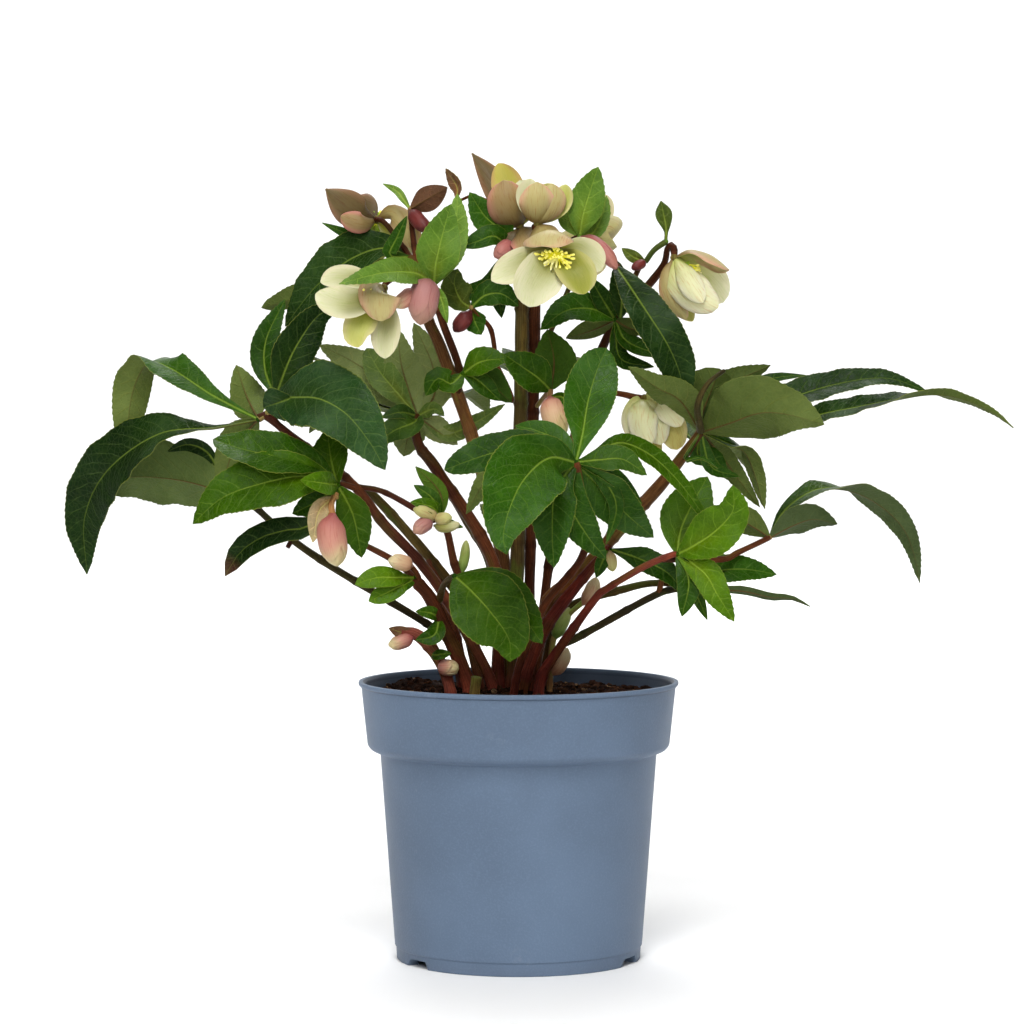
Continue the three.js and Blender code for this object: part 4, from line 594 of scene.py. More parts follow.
blooms = {
    "bloom_front": {"heart": [23, 421, -66],
        "sepals": [["blush up", 15, 0.34, [20, 430.5, -70, 180], [17, 431, -81], [14, 422.5, -91]],
            ["cream", 9.5, 0.25, [5, 413, -78, -20], [-6, 407, -82], [-16, 402, -84]],
            ["cream", 13.5, 0.22, [15, 408, -82, 5], [9, 398, -86], [6, 386.5, -86]], ["olive", 11, 0.25,
            [31, 411, -80, 10], [36, 403, -84], [39, 394, -84]], ["cream", 9.5, 0.25, [35, 420, -68, 15],
            [43, 414, -70], [49, 408, -70]]],
        "stamens": {"heart": [22, 417, -73], "look": [19, 406, -88], "count": 92, "length": 13,
            "spread": 44}},
    "bloom_left": {"heart": [-79.5, 397.5, -60],
        "sepals": [["cream", 9.5, 0.25, [-95, 389, -72, -15], [-108, 389, -76], [-120, 394, -74, -20]],
            ["cream", 8, 0.25, [-94, 402, -62, -30], [-106, 403, -64], [-117, 401, -66]],
            ["yellow", 9, 0.25, [-91, 381, -68, 0], [-96, 371, -72], [-95, 362.5, -72]],
            ["cream", 8.5, 0.22, [-78, 378, -64, 0], [-79, 367, -66], [-79, 356, -66]],
            ["blush full", 12, 0.3, [-82, 396, -76, 180], [-82, 389, -80], [-81, 378, -78]]],
        "stamens": {"heart": [-83, 394, -65], "look": [-88, 385, -80], "count": 26, "length": 10,
            "spread": 34}},
    "bloom_left_back": {"heart": [-84, 438, 12.5],
        "sepals": [["brown sharp", 10.5, 0.3, [-93, 440, 4, 180], [-104, 448, 1], [-114, 456, 0]],
            ["blush", 8, 0.3, [-75, 442, 6, 180], [-67, 434, 3], [-61, 421, 2]], ["cream", 7.5, 0.25,
            [-76, 430, 14, 0], [-70, 421, 13], [-65, 413.5, 12]], ["brown sharp", 9, 0.3,
            [-90, 444, 18, 180], [-96, 446, 26], [-103, 447, 36, 170]], ["yellow", 7, 0.25,
            [-84, 430, 20, 0], [-83, 422, 26], [-84, 414, 30]], ["pink", 6.5, 0.3, [-91, 436, 1, 180],
            [-98, 437, -1], [-105, 440, -2]]],
        "stamens": {"heart": [-84, 437, 14], "look": [-90, 437, 40], "count": 26, "length": 9,
            "spread": 40}},
    "bloom_top_left": {"heart": [1, 433.5, -10.5],
        "sepals": [["pink full", 13, 0.3, [-3, 441, -20, 180], [-7, 451, -23], [-9, 461, -20]],
            ["straw", 9.5, 0.25, [-3, 446, 0, 0], [-7, 459, 4], [-12, 471, 5]], ["brown sharp", 9, 0.25,
            [-8, 450, 6, 170], [-17, 464, 12], [-27.5, 477, 14]], ["blush", 7, 0.3, [-7, 440, -15, 170],
            [-11, 446, -17], [-14, 455, -16]], ["cream", 8, 0.25, [5, 444, -6, 0], [4, 453, -2],
            [1, 461, 2]], ["brown", 5, 0.3, [-2, 429, -15, 180], [-5, 424, -16], [-7, 419, -16]],
            ["pink full", 9, 0.3, [3, 430, -22, 180], [4, 425, -30], [4, 416, -34]]],
        "stamens": {"heart": [0, 437, -9], "look": [-7, 452, -6], "count": 26, "length": 11,
            "spread": 30}},
    "bloom_top_right": {"heart": [11, 435, -30],
        "sepals": [["blush full", 10.5, 0.3, [11, 443, -38, 180], [11, 452, -40], [11, 460, -37]],
            ["blush", 9, 0.3, [17, 442, -36, 170], [20, 450, -37], [20, 459, -34]], ["yellow", 7, 0.25,
            [20, 441, -28, 20], [26, 449, -26], [28, 458.5, -24]], ["yellow", 8.5, 0.25,
            [14, 444, -22, 0], [17, 452, -18], [20, 459, -17]], ["cream", 7.5, 0.25, [7, 444, -25, 0],
            [6, 453, -22], [7, 462, -21]], ["blush full", 11, 0.3, [13, 431, -38, 180], [14, 426, -44],
            [14, 416, -48]]],
        "stamens": {"heart": [11, 437, -30], "look": [15, 452, -29], "count": 24, "length": 10,
            "spread": 26}},
    "bloom_right": {"heart": [92, 415.5, -31.5],
        "sepals": [["blush", 11.5, 0.4, [101, 420, -34, -80], [113, 417, -36, -82],
            [124.5, 408, -36, -80]], ["white full", 11, 0.3, [97, 403, -42, 178], [106, 393, -48],
            [118, 386, -48]], ["white", 7, 0.28, [97, 408, -43, 178], [103, 398, -50],
            [109, 389, -52, 176]], ["blush", 6.5, 0.3, [88, 406, -36, 180], [90, 393, -38, 170],
            [99, 379, -36, 150]], ["white full", 12.5, 0.25, [103, 408, -22, 0], [113, 400, -20],
            [121, 389, -22]], ["yellow", 6.5, 0.3, [93, 400, -30, 0], [96, 389, -30], [103, 378, -30]]],
        "stamens": {"heart": [96, 411, -33], "look": [110, 400, -34], "count": 20, "length": 11,
            "spread": 30}},
    "bloom_right_low": {"heart": [74.5, 332.5, -25],
        "sepals": [["white full", 9, 0.35, [74, 326, -36, 180], [74, 316, -38], [78, 305, -37]],
            ["white full", 8.5, 0.3, [84, 333, -34, 180], [90, 325, -37], [96, 316, -36]],
            ["yellow full", 9.5, 0.25, [84, 324, -26, 180], [91, 314, -28], [94, 302, -28]],
            ["white full", 7, 0.3, [70, 328, -28, 180], [68, 318, -30], [72, 306, -30]],
            ["yellow", 6, 0.25, [77, 316, -20, 180], [79, 306, -20], [82, 294, -20]],
            ["white full", 8, 0.3, [78, 328, -30, 180], [82, 316, -33], [84, 305, -32]]],
        "stamens": {"heart": [76, 330, -25], "look": [84, 314, -24], "count": 26, "length": 11,
            "spread": 26}},
    "bloom_back": {"heart": [45, 432, 48],
        "sepals": [["cream", 9, 0.25, [47, 437, 54, 180], [48, 446, 58], [48, 454, 58]],
            ["cream", 11, 0.25, [38, 438, 54, 180], [30, 446, 58], [26, 452, 58]], ["cream", 11, 0.25,
            [36, 426, 54, 180], [28, 418, 58], [24, 408, 58]], ["cream", 11, 0.25, [44, 424, 54, 180],
            [42, 414, 58], [40, 404, 58]], ["cream", 11, 0.25, [50, 428, 50, 180], [53, 430, 54],
            [55, 426, 62]]],
        "stamens": {"heart": [45, 432, 52], "look": [44, 431, 80], "count": 36, "length": 12,
            "spread": 48}},
}

leaves = {
    "leaf_far_left": {"finish": "leaf", "heart": [-154, 320, -28],
        "blades": [["curling", 12.5, [-181, 334, -24, -25], [-206, 350, -8, -40], [-220, 353, 8, -115],
            [-229, 334, 14, -165], [-233, 299, 12, -175]], ["drooping deepLeaf", 17.46,
            [-180, 315, -23, -75], [-213, 311, -8, -45], [-243, 290, 14, -25], [-257, 262, 34, -10],
            [-256, 228, 46, 0]], ["small", 12, [-168, 303, -10, 170], [-177, 276, 0]], ["small", 11,
            [-161, 334, -8, 180], [-167, 352, 2]]],
        "runs": [[[-154, 320, -28, 2.2], [-147, 325, -26, 2], [-143, 333, -22, 1.8]]]},
    "leaf_left_front": {"finish": "youngLeaf", "heart": [-107, 281, -51],
        "blades": [["round youngLeaf", 14.5, [-121, 294, -56, -35], [-148, 299, -64, -40],
            [-163, 302, -66, -45], [-181, 308, -62, -50]], ["medium", 17.5, [-128, 286, -62, -25],
            [-155, 281, -70], [-176, 273, -70], [-193, 258, -66, -20]], ["small", 12,
            [-110, 292, -46, 20], [-112, 303, -41, 10], [-113, 314, -38, 0]], ["small", 10,
            [-98, 263, -44, 0], [-93, 238, -42]], ["late deepLeaf tip", 8.5, [-122, 258, -54, -20],
            [-138, 254, -54, -30], [-152, 250, -52], [-165, 241, -50, -20], [-174, 227, -48, -10]],
            ["plain brightLeaf", 7, [-115, 282, -66, -20], [-129, 284, -76]], ["small", 8,
            [-118, 272, -52, -10], [-134, 264, -52]]]},
    "leaf_left_low": {"finish": "backLeaf", "heart": [-157, 269, 5.5],
        "blades": [["round paleUnderside", 22, [-175, 277, 12, -145], [-200, 284, 22, -150],
            [-228, 286, 28], [-251, 281, 30]], ["small", 9, [-146, 278, 18, 150], [-132, 288, 30]]],
        "extraBlades": [[[-178, 291, 12], ["plain deepLeaf", 4.5, [-185, 301, 12, 0], [-196, 305, 10],
            [-208, 301, 8]]]]},
    "leaf_left_upright": {"finish": "leaf", "heart": [-144, 333, -21.5],
        "blades": [["slim", 8, [-150, 350, -16, 10], [-149, 368, -12, 0], [-138, 391, -6]],
            ["medium deepLeaf", 12.5, [-137, 352, -25, -10], [-130, 366, -25, -20], [-119, 381, -21],
            [-106, 387, -17]], ["broad blueLeaf", 22, [-134, 333, -40, 20], [-118, 332, -56, 25],
            [-102, 323, -68, 20], [-88, 306, -74, 10], [-79, 290, -76, 0]], ["small", 9,
            [-134, 342, -8, 170], [-124, 356, 2]], ["plain", 4, [-134, 320, -6, 150], [-118, 316, 2]],
            ["plain", 2.6, [-125, 355, -2, 80], [-110, 351, 6], [-97, 345, 10]]],
        "extraBlades": [[[-134, 333, -40], ["broad blueLeaf", 11, [-142, 330, -38, 20],
            [-151, 327, -34]]]]},
    "leaf_left_high": {"finish": "leaf", "heart": [-64, 416, -8],
        "blades": [["broad deepLeaf", 17, [-80, 421, 0, -35], [-100, 414, 6], [-120, 398, 10],
            [-138, 375, 12, -30]], ["round", 9.5, [-90, 408, 14, -150], [-118, 396, 26], [-134, 391, 30],
            [-152, 386, 32]], ["plain", 4.5, [-76, 417, -14, 10], [-72, 427, -16], [-66, 440, -18, 0]],
            ["plain", 4.5, [-80, 422, 14, -10], [-98, 428, 20], [-116, 436, 24]]]},
    "leaf_middle": {"finish": "backLeaf", "heart": [-60, 322, 13],
        "blades": [["medium shadedUnderside", 12, [-78, 340, 24, 175], [-98, 354, 30, 170],
            [-118, 364, 34, 165]], ["medium shadedUnderside", 12, [-66, 340, 18, 175], [-70, 356, 18],
            [-71, 373, 17]], ["small shadedUnderside", 10, [-65, 312, 15, 180], [-68, 298, 15]],
            ["medium shadedUnderside", 11, [-50, 334, 20, 180], [-51, 352, 24], [-62, 377, 26]],
            ["small paleLeaf", 4.5, [-50, 326, 6, 20], [-44, 322, 2]], ["slim shadedUnderside", 8,
            [-46, 312, 14, 160], [-36, 305, 14, 150]], ["plain", 5, [-70, 324, 4, -30], [-81, 321, 0]],
            ["round paleLeaf", 9, [-72, 336, 14, -10], [-82, 348, 20], [-90, 362, 24]],
            ["small paleLeaf", 5.5, [-42, 312, 14, 0], [-26, 318, 10], [-8, 329, 8]], ["small", 8,
            [-62, 318, 4, -20], [-74, 313, 0], [-86, 304, -4]]]},
    "leaf_small_left": {"finish": "youngLeaf", "heart": [-33, 347, -19.5],
        "blades": [["small", 8.5, [-22, 354, -26, 25], [-6, 356, -28]], ["plain", 7.5,
            [-40, 341, -28, -30], [-48, 344, -30], [-55, 334, -28, 0]], ["plain", 6, [-24, 343, -22, 10],
            [-11, 331, -22]], ["small", 9, [-20, 344, -15, 160], [-4, 330, -14]]]},
    "leaf_front": {"finish": "leaf", "heart": [34, 294.5, -104.5],
        "blades": [["broad", 22, [18, 297, -118, -15], [3, 284, -134, -10], [-6, 265, -148, 0],
            [-9, 250, -156], [-7, 240, -160]], ["round", 11, [10, 304, -106, -30], [-15, 300, -108],
            [-44, 290, -110, -20]], ["medium", 13, [22, 278, -112, 0], [20, 255, -117], [21, 232, -120]],
            ["small", 10.5, [31, 270, -104, 5], [40, 252, -101, 10], [52, 237, -98]],
            ["slim youngLeaf", 8.5, [50, 296, -106, 35], [62, 296, -104], [76, 287, -100, 30]],
            ["slim youngLeaf", 6.5, [47, 300, -94, 40], [60, 306, -86, 35], [76, 300, -78],
            [92, 286, -71], [106, 268, -66, 30], [115, 253, -63, 20]], ["round", 14.5, [38, 312, -97, 0],
            [41, 330, -89], [46, 348, -81], [52, 362, -74]], ["medium", 13, [50, 278, -86, -10],
            [66, 262, -76], [80, 250, -66, 0]], ["medium", 10, [6, 296, -84, 170], [-18, 284, -66],
            [-31, 264, -56]], ["slim", 5, [50, 284, -90, 10], [58, 268, -84, 0], [52, 246, -82]],
            ["plain", 5.5, [48, 290, -92, 30], [60, 283, -84, 25], [73, 270, -79, 20]], ["plain", 7.5,
            [22, 308, -98, -20], [8, 314, -95], [-2, 316, -92]]]},
    "leaf_front_low": {"finish": "leaf", "heart": [-38, 227, -71],
        "blades": [["small youngLeaf", 21, [-29, 219, -80, 20], [-17, 206, -88, 14], [-6, 190, -92, 4],
            [-5, 176, -93, 0]], ["small youngLeaf", 14, [-14, 218, -76, 14], [3, 202, -82, 10],
            [14, 187, -86, 0]]]},
    "leaf_flower_side": {"finish": "leaf", "heart": [57, 379, -14],
        "blades": [["small", 10, [44, 385, -24, -30], [28, 384, -34], [13, 373, -40, -20]], ["plain", 6,
            [66, 374, -16, 150], [77, 372, -16]], ["plain", 6, [60, 356, -8, 30], [80, 351, -6]],
            ["plain", 6, [49, 392, -24, 0], [42, 404, -30]], ["plain", 6.5, [44, 373, -6, -150],
            [28, 368, 0]], ["plain", 6, [64, 366, -14, 30], [86, 357, -14]]],
        "extraBlades": [[[60, 379, -18], ["small deepLeaf", 7, [61, 390, -22, 0], [60, 402, -24],
            [58, 414, -26]]]]},
    "leaf_strap": {"finish": "leaf", "heart": [57, 411, -29],
        "blades": [["strap deepLeaf", 12.5, [64, 401, -44, 20], [76, 383, -56], [87, 366, -58, 15],
            [94, 351, -54, 10], [99, 333, -50, 5]]]},
    "leaf_right": {"finish": "leaf", "heart": [108, 312.5, -28],
        "runTints": {0: "darkOlive"},
        "blades": [["broad", 23, [125, 318, -46, 150], [143, 324, -60], [160, 323, -66, 148],
            [181, 317, -66, 145]], ["medium", 9.5, [112, 330, -14, 175], [125, 341, -8, 170],
            [149, 352, -4, 165]], ["slim deepLeaf", 11, [132, 320, -10, 50], [160, 332, 2, 45],
            [190, 341, 4], [218, 344, 0], [243, 336, -2, 40]], ["slim deepLeaf", 8, [135, 310, -28, 60],
            [160, 317, -38, 50], [180, 323, -52], [200, 327, -70, 55], [220, 331, -86, 70],
            [240, 334.5, -96, 105], [255, 334, -103, 125], [270, 329.5, -111, 130], [283, 323, -119],
            [293, 315, -126, 125]], ["slim", 7.5, [123, 306, -24, 60], [134, 301, -22, 110],
            [140, 288, -18, 140], [146, 267, -14, 150]], ["small", 6, [106, 299, -20, 20],
            [116, 297, -14, 25], [124, 284, -12, 20]], ["plain", 2.6, [98, 296, -36, 60], [108, 297, -38],
            [118, 291, -38]], ["small", 4.5, [114, 292, -18, 20], [131, 286, -12]], ["plain", 5,
            [130, 334, 6, 30], [150, 344, 12], [170, 346, 14]], ["medium", 11, [96, 331, -50, -150],
            [82, 339, -62], [65, 351, -66]], ["small", 6.5, [119, 300, -8, 170], [130, 285, -2],
            [143, 268, 0]], ["round", 16, [109, 324, -34, 172], [114, 337, -38], [119, 350, -40]]],
        "runs": [[[108, 313, -34, 2.2], [106, 328, -58, 1.9], [112, 341, -64, 1.5], [122, 349, -60, 1]]]},
    "leaf_right_front": {"finish": "youngLeaf", "heart": [94, 240, -58],
        "blades": [["small brightLeaf", 13.5, [104, 245, -64, 20], [117, 254, -68, 10],
            [127, 266, -70, 0], [127, 281, -70]], ["small youngLeaf", 15, [96, 254, -53, 0],
            [102, 268, -50], [112, 286, -46, 10]], ["plain", 7, [101, 224, -64, 0], [97, 203, -66]],
            ["small brightLeaf", 8.5, [110, 229, -66, 10], [118, 216, -69, 0], [128, 200, -70]],
            ["plain", 4.5, [103, 222, -50, 0], [112, 201, -46]]]},
    "leaf_right_arch": {"finish": "backLeaf", "heart": [149, 250, -8.5],
        "blades": [["small duskUnderside", 11, [162, 257, -12, 140], [175, 261, -14], [189, 258, -15]],
            ["slim duskUnderside", 10, [158, 266, -4, 45], [176, 278, 2, 60], [196, 278, 10, 105],
            [213, 270, 16, 138], [227, 257, 20, 160], [234, 242, 24, 165], [238, 223, 28, 170]],
            ["small", 9, [140, 256, -8, -150], [128, 262, -6], [117, 264, -4]]]},
    "leaf_right_small": {"finish": "leaf", "heart": [54, 243, -41.5],
        "blades": [["slim", 8, [72, 237, -42, 30], [88, 229, -44, 25], [99, 216, -44, 10]], ["plain", 4,
            [50, 236, -46, 0], [46, 226, -48]]],
        "buds": [["cream", 3.4, [54, 242, -43], [56, 230, -46]]]},
    "leaf_right_thin": {"finish": "leaf", "heart": [103, 220.5, -27],
        "blades": [["small", 9, [116, 229, -22, 30], [133, 231, -18], [153, 228, -14]],
            ["plain duskUnderside", 3, [123, 219, -26, 150], [135, 218, -24], [150, 214.5, -20],
            [162, 214, -18], [173, 209, -16]]]},
    "leaf_low_left": {"finish": "youngLeaf", "heart": [-61, 226, -38],
        "blades": [["late brightLeaf", 6.5, [-72, 226, -46, -20], [-84, 226, -50], [-97, 222, -52]],
            ["late brightLeaf", 6, [-72, 220, -46, -10], [-89, 212, -50]], ["plain", 3.5,
            [-68, 221, -44, -10], [-72, 215, -47]]]},
    "leaf_back_left": {"finish": "backLeaf", "facing": "up", "heart": [-62, 321, 86],
        "blades": [["small", 19, [-76, 330, 108, 0], [-90, 330, 130], [-102, 320, 150]], ["small", 18,
            [-62, 334, 116, 0], [-60, 332, 142], [-58, 320, 163]], ["small", 16, [-44, 332, 104, 0],
            [-30, 334, 124], [-18, 324, 142]], ["small", 17, [-86, 326, 92, 0], [-106, 324, 104],
            [-124, 312, 116]]]},
    "leaf_back_centre": {"finish": "backLeaf", "facing": "up", "heart": [2, 345, 66],
        "blades": [["small", 15, [-10, 352, 86, 0], [-18, 352, 106], [-24, 342, 124]], ["small", 17,
            [6, 356, 96, 0], [9, 356, 124], [10, 344, 148]], ["small", 15, [20, 353, 82, 0],
            [34, 352, 98], [46, 342, 110]]]},
    "leaf_back_low": {"finish": "backLeaf", "facing": "up", "heart": [4, 257, 53],
        "blades": [["small", 14, [-6, 266, 74, 0], [-12, 266, 96], [-16, 256, 114]], ["small", 14,
            [14, 266, 76, 0], [20, 266, 100], [24, 254, 122]]]},
    "leaf_back_right": {"finish": "backLeaf", "facing": "up", "heart": [104, 307, 97],
        "blades": [["small", 18, [124, 318, 104, 0], [142, 320, 116], [160, 312, 128]], ["small", 18,
            [110, 320, 120, 0], [112, 322, 142], [114, 310, 164]], ["small", 16, [92, 318, 114, 0],
            [80, 320, 130], [68, 310, 144]], ["small", 11, [118, 304, 106, 0], [130, 298, 116],
            [140, 286, 122]]]},
    "bracts_left": {"finish": "bract", "heart": [-50, 399, -44],
        "blades": [["medium", 12.5, [-49, 411, -51, 0], [-46, 425, -54], [-40, 447, -54]], ["slim", 8.5,
            [-57, 405, -52, -20], [-66, 407, -66, -25], [-82, 406, -82, -30], [-106, 400, -90, -25]],
            ["small", 9, [-42, 417, -36, 0], [-37, 436, -32], [-36, 453, -30]], ["plain", 3.2,
            [-46, 392, -50, 0], [-42, 377, -52]]],
        "extraBlades": [[[-37, 450, -24], ["small brownBract", 4.5, [-36, 457, -23, 40],
            [-43, 468, -22]]]]},
    "bracts_purple": {"finish": "purpleBract", "heart": [-64, 444, -4],
        "blades": [["plain brownBract", 7.5, [-54, 450, -10, 180], [-42, 457, -12]], ["plain bract", 2.4,
            [-68, 450, -4, 0], [-72, 455, -3], [-80, 459, -2]]],
        "buds": [["red", 4.5, [-64, 443.5, -4.5], [-58, 436, -12], [-52, 432, -16]]]},
    "bracts_top": {"finish": "leaf", "heart": [-5, 420, -11],
        "runTints": {0: "redStem"},
        "blades": [["small", 9.5, [-11, 432, -14, -10], [-20, 440, -16], [-29, 454, -16, 0]],
            ["plain", 7.5, [-14, 428, -20, -30], [-24, 425, -24], [-34, 422, -26, -20]], ["plain", 7,
            [-16, 399, 0, -30], [-30, 394, 6], [-45, 391, 8]], ["plain", 6.5, [-12, 400, -2, 0],
            [-10, 380, 2]]],
        "buds": [["rose", 4.8, [-4, 424, -16], [-9, 420, -22], [-14, 416, -25]]],
        "runs": [[[-35, 449, -10, 0.9], [-27, 452, -10, 0.9], [-18, 449, -8, 0.9]]]},
    "bracts_right": {"finish": "bract", "heart": [36, 428, -18.5],
        "blades": [["small", 10.5, [38, 440, -23, 0], [42, 454, -24], [47, 469, -23]], ["plain", 7.5,
            [31, 438, -13, 0], [30, 447, -10], [31, 453, -8]], ["small", 5.5, [44, 430, -13, 10],
            [50, 442, -8, 0], [52, 452, -6]]],
        "buds": [["rose", 4.7, [37, 427.5, -19.5], [45, 423, -30], [52, 417, -36], [58, 409, -38]]]},
    "bracts_far_right": {"finish": "bract", "heart": [87, 425, -28],
        "runTints": {0: "greenStalk"},
        "runs": [[[75, 413, -24, 1.6], [80, 420, -27, 1.6], [87, 425, -28.5, 1.8]]],
        "blades": [["spoon bractDark", 5, [87, 434, -30, 0], [84, 449, -30]]],
        "buds": [["red", 2.9, [75, 413, -25], [71, 411, -29], [67, 409, -31]]],
        "extraBlades": [[[75, 413, -24], ["plain bractDark", 3.6, [68, 416, -26, 0], [61, 421, -26]]]]},
    "bracts_middle": {"finish": "purpleBract", "heart": [-28, 386, -12],
        "runTints": {0: "redStem", 1: "redStem"},
        "runs": [[[-13, 352, 2, 1.5], [-16, 372, -4, 1.4], [-22, 380, -8, 1.4], [-28, 386, -12, 1.4]],
            [[-13, 352, 2, 1.5], [-6, 338, 0, 1.5], [-3, 330, -1, 1.4]]],
        "blades": [["small bractDark", 9, [-34, 390, -14, -10], [-38, 400, -14, 0], [-36, 409, -14]],
            ["small leaf", 8, [-20, 393, -14, 20], [-10, 394, -14], [0, 387, -12]], ["small leaf", 7,
            [-26, 378, -8, 0], [-22, 370, -8]]],
        "buds": [["red", 4.6, [-28, 384, -12], [-33, 378, -12], [-38, 372, -12]]]},
}

# Colours of the parts, each from one end of its range to the other.
tints = linearTable({
    "leaf": ((26, 55, 4), (44, 82, 10)),
    "youngLeaf": ((34, 66, 0), (54, 86, 2)),
    "brightLeaf": ((54, 90, 2), (80, 114, 10)),
    "deepLeaf": ((16, 38, 6), (30, 56, 12)),
    "blueLeaf": ((28, 54, 22), (44, 74, 32)),
    "paleLeaf": ((84, 106, 46), (108, 128, 62)),
    "backLeaf": ((30, 56, 12), (52, 80, 20)),
    "bract": ((78, 112, 32), (104, 136, 52)),
    "purpleBract": ((64, 44, 32), (92, 66, 44)),
    "bractDark": ((56, 74, 22), (84, 96, 34)),
    "brownBract": ((78, 52, 38), (108, 76, 54)),
    "underside": ((72, 86, 38), (96, 110, 54)),
    # Painted light: a paler underside tint, so that an underside lying in shade comes out lighter.
    "paleUnderside": ((82, 98, 50), (104, 120, 68)),
    # Painted light: a much paler underside tint, so that undersides deep in shade under the leaves come out
    # lit.
    "shadedUnderside": ((112, 126, 72), (134, 146, 90)),
    "duskUnderside": ((58, 72, 40), (78, 92, 56)),
    "bud": ((146, 124, 84), (190, 178, 134)),
    "bloomHeart": ((96, 84, 40), (124, 110, 56)),
    "brownStem": ((92, 60, 32), (122, 84, 46)),
    "darkStem": ((74, 38, 28), (106, 62, 40)),
    "oliveStem": ((70, 54, 28), (86, 74, 36)),
    "darkOlive": ((46, 40, 22), (70, 64, 34)),
    "greenStalk": ((70, 84, 34), (96, 108, 52)),
    "redStem": ((64, 32, 16), (104, 58, 34)),
    "pinkStem": ((88, 34, 26), (122, 60, 44)),
    "pedicel": ((150, 110, 70), (150, 140, 80)),
    "stubGreen": ((120, 136, 60), (150, 164, 84)),
    "roseStem": ((126, 58, 50), (164, 98, 78)),
    "cutTip": ((58, 32, 26), (92, 56, 40)),
})
cycle = 6.28  # a wave's full turn, and the range of its random phase


def swell(widest, fullness, share):  # sin(pi * share ^ k) ^ fullness, with k such that it peaks at widest
    return np.sin(np.pi * np.clip(share, 0, 0.9999) ** (math.log(0.5) / math.log(widest))) ** fullness


def fromHeart(heart, places):  # the path from the heart out; a place that gives no turn keeps the one before
    route = [[*heart, places[0][3]]]
    for place in places:
        route.append([*place, route[-1][3]][:4])
    return pathOf(route)


def sheet(point, side, face, across, lift):  # point + side * across + face * lift
    return point[:, None] + side[:, None] * across[..., None] + face[:, None] * lift[..., None]


def ringAbout(point, one, two, theta, radius):  # point + (one * cos(theta) + two * sin(theta)) * radius
    out = one[:, None] * np.cos(theta)[..., None] + two[:, None] * np.sin(theta)[..., None]
    return point[:, None] + out * radius[..., None]


def turned(radius, height, count):  # rings about the upright axis: (radius * cos, radius * sin, height)
    angle = around(count)
    x, y = radius * np.cos(angle), radius * np.sin(angle)
    return np.stack([x, y, np.broadcast_to(height, x.shape)], axis=-1)


def layered(grid, *values):  # those values for every point of the grid
    return np.stack([np.broadcast_to(value, grid.shape) for value in values], axis=-1)


def backToBack(front, back):  # the front one way round, and the back on the way home
    return np.concatenate([front, back[:, ::-1]], axis=1)


# How each outline swells: where it is widest, how full it is, how much its foot narrows, and whether it has
# teeth.
outlines = {
    "broad": (0.42, 0.8, 0.42, True), "medium": (0.42, 0.8, 0.42, True), "slim": (0.44, 0.85, 0.4, True),
    "small": (0.45, 0.8, 0.25, True), "round": (0.6, 0.6, 0.4, True), "strap": (0.58, 0.5, 0.2, True),
    "plain": (0.48, 0.75, 0.1, False), "spoon": (0.66, 1.1, 0.0, False), "late": (0.6, 0.6, 0.5, False),
    "drooping": (0.54, 0.85, 0.62, True), "curling": (0.6, 0.6, 0.45, True),
}
leafShape = {"fold": 16, "rootOffset": 1.1, "toothPitch": 3.3, "toothDepth": 0.42, "toothFrom": 0.14,
             "toothReach": 0.82, "toothLean": 0.7, "fullTooth": 9, "toothJitter": (0.2, 1.2), "middle": 0.8,
             "edge": 0.3, "rib": 0.7, "ribWidth": 0.9, "sink": 0.3, "wave": 0.055, "wavelength": (19, 27),
             "columns": (0.26, 0.52, 0.8, 1), "tintRun": 17, "witheredFrom": 0.88}


def bladeRows(length, toothed):
    # Where the rows of a blade stand, as shares of its length, and a 1 for each that ends in a tooth's point.
    shape = leafShape
    start, reach = shape["rootOffset"] / length, shape["toothReach"]
    if toothed:
        count = max(int(reach * length / shape["toothPitch"]), 4)
        notch = shape["toothFrom"] + reach * np.arange(count) / count
        tooth = notch + reach / count * shape["toothLean"]
        share = np.concatenate([[start, 0.06, 0.1], notch, tooth, [0.98, 1.0]])
        saw = np.concatenate([np.zeros(3 + count), np.ones(count), [0, 0]])
    else:
        share = np.concatenate([[start], np.linspace(0.08, 1, 13)])
        saw = np.zeros(len(share))
    order = np.argsort(share)
    return np.maximum(share[order], start), saw[order]


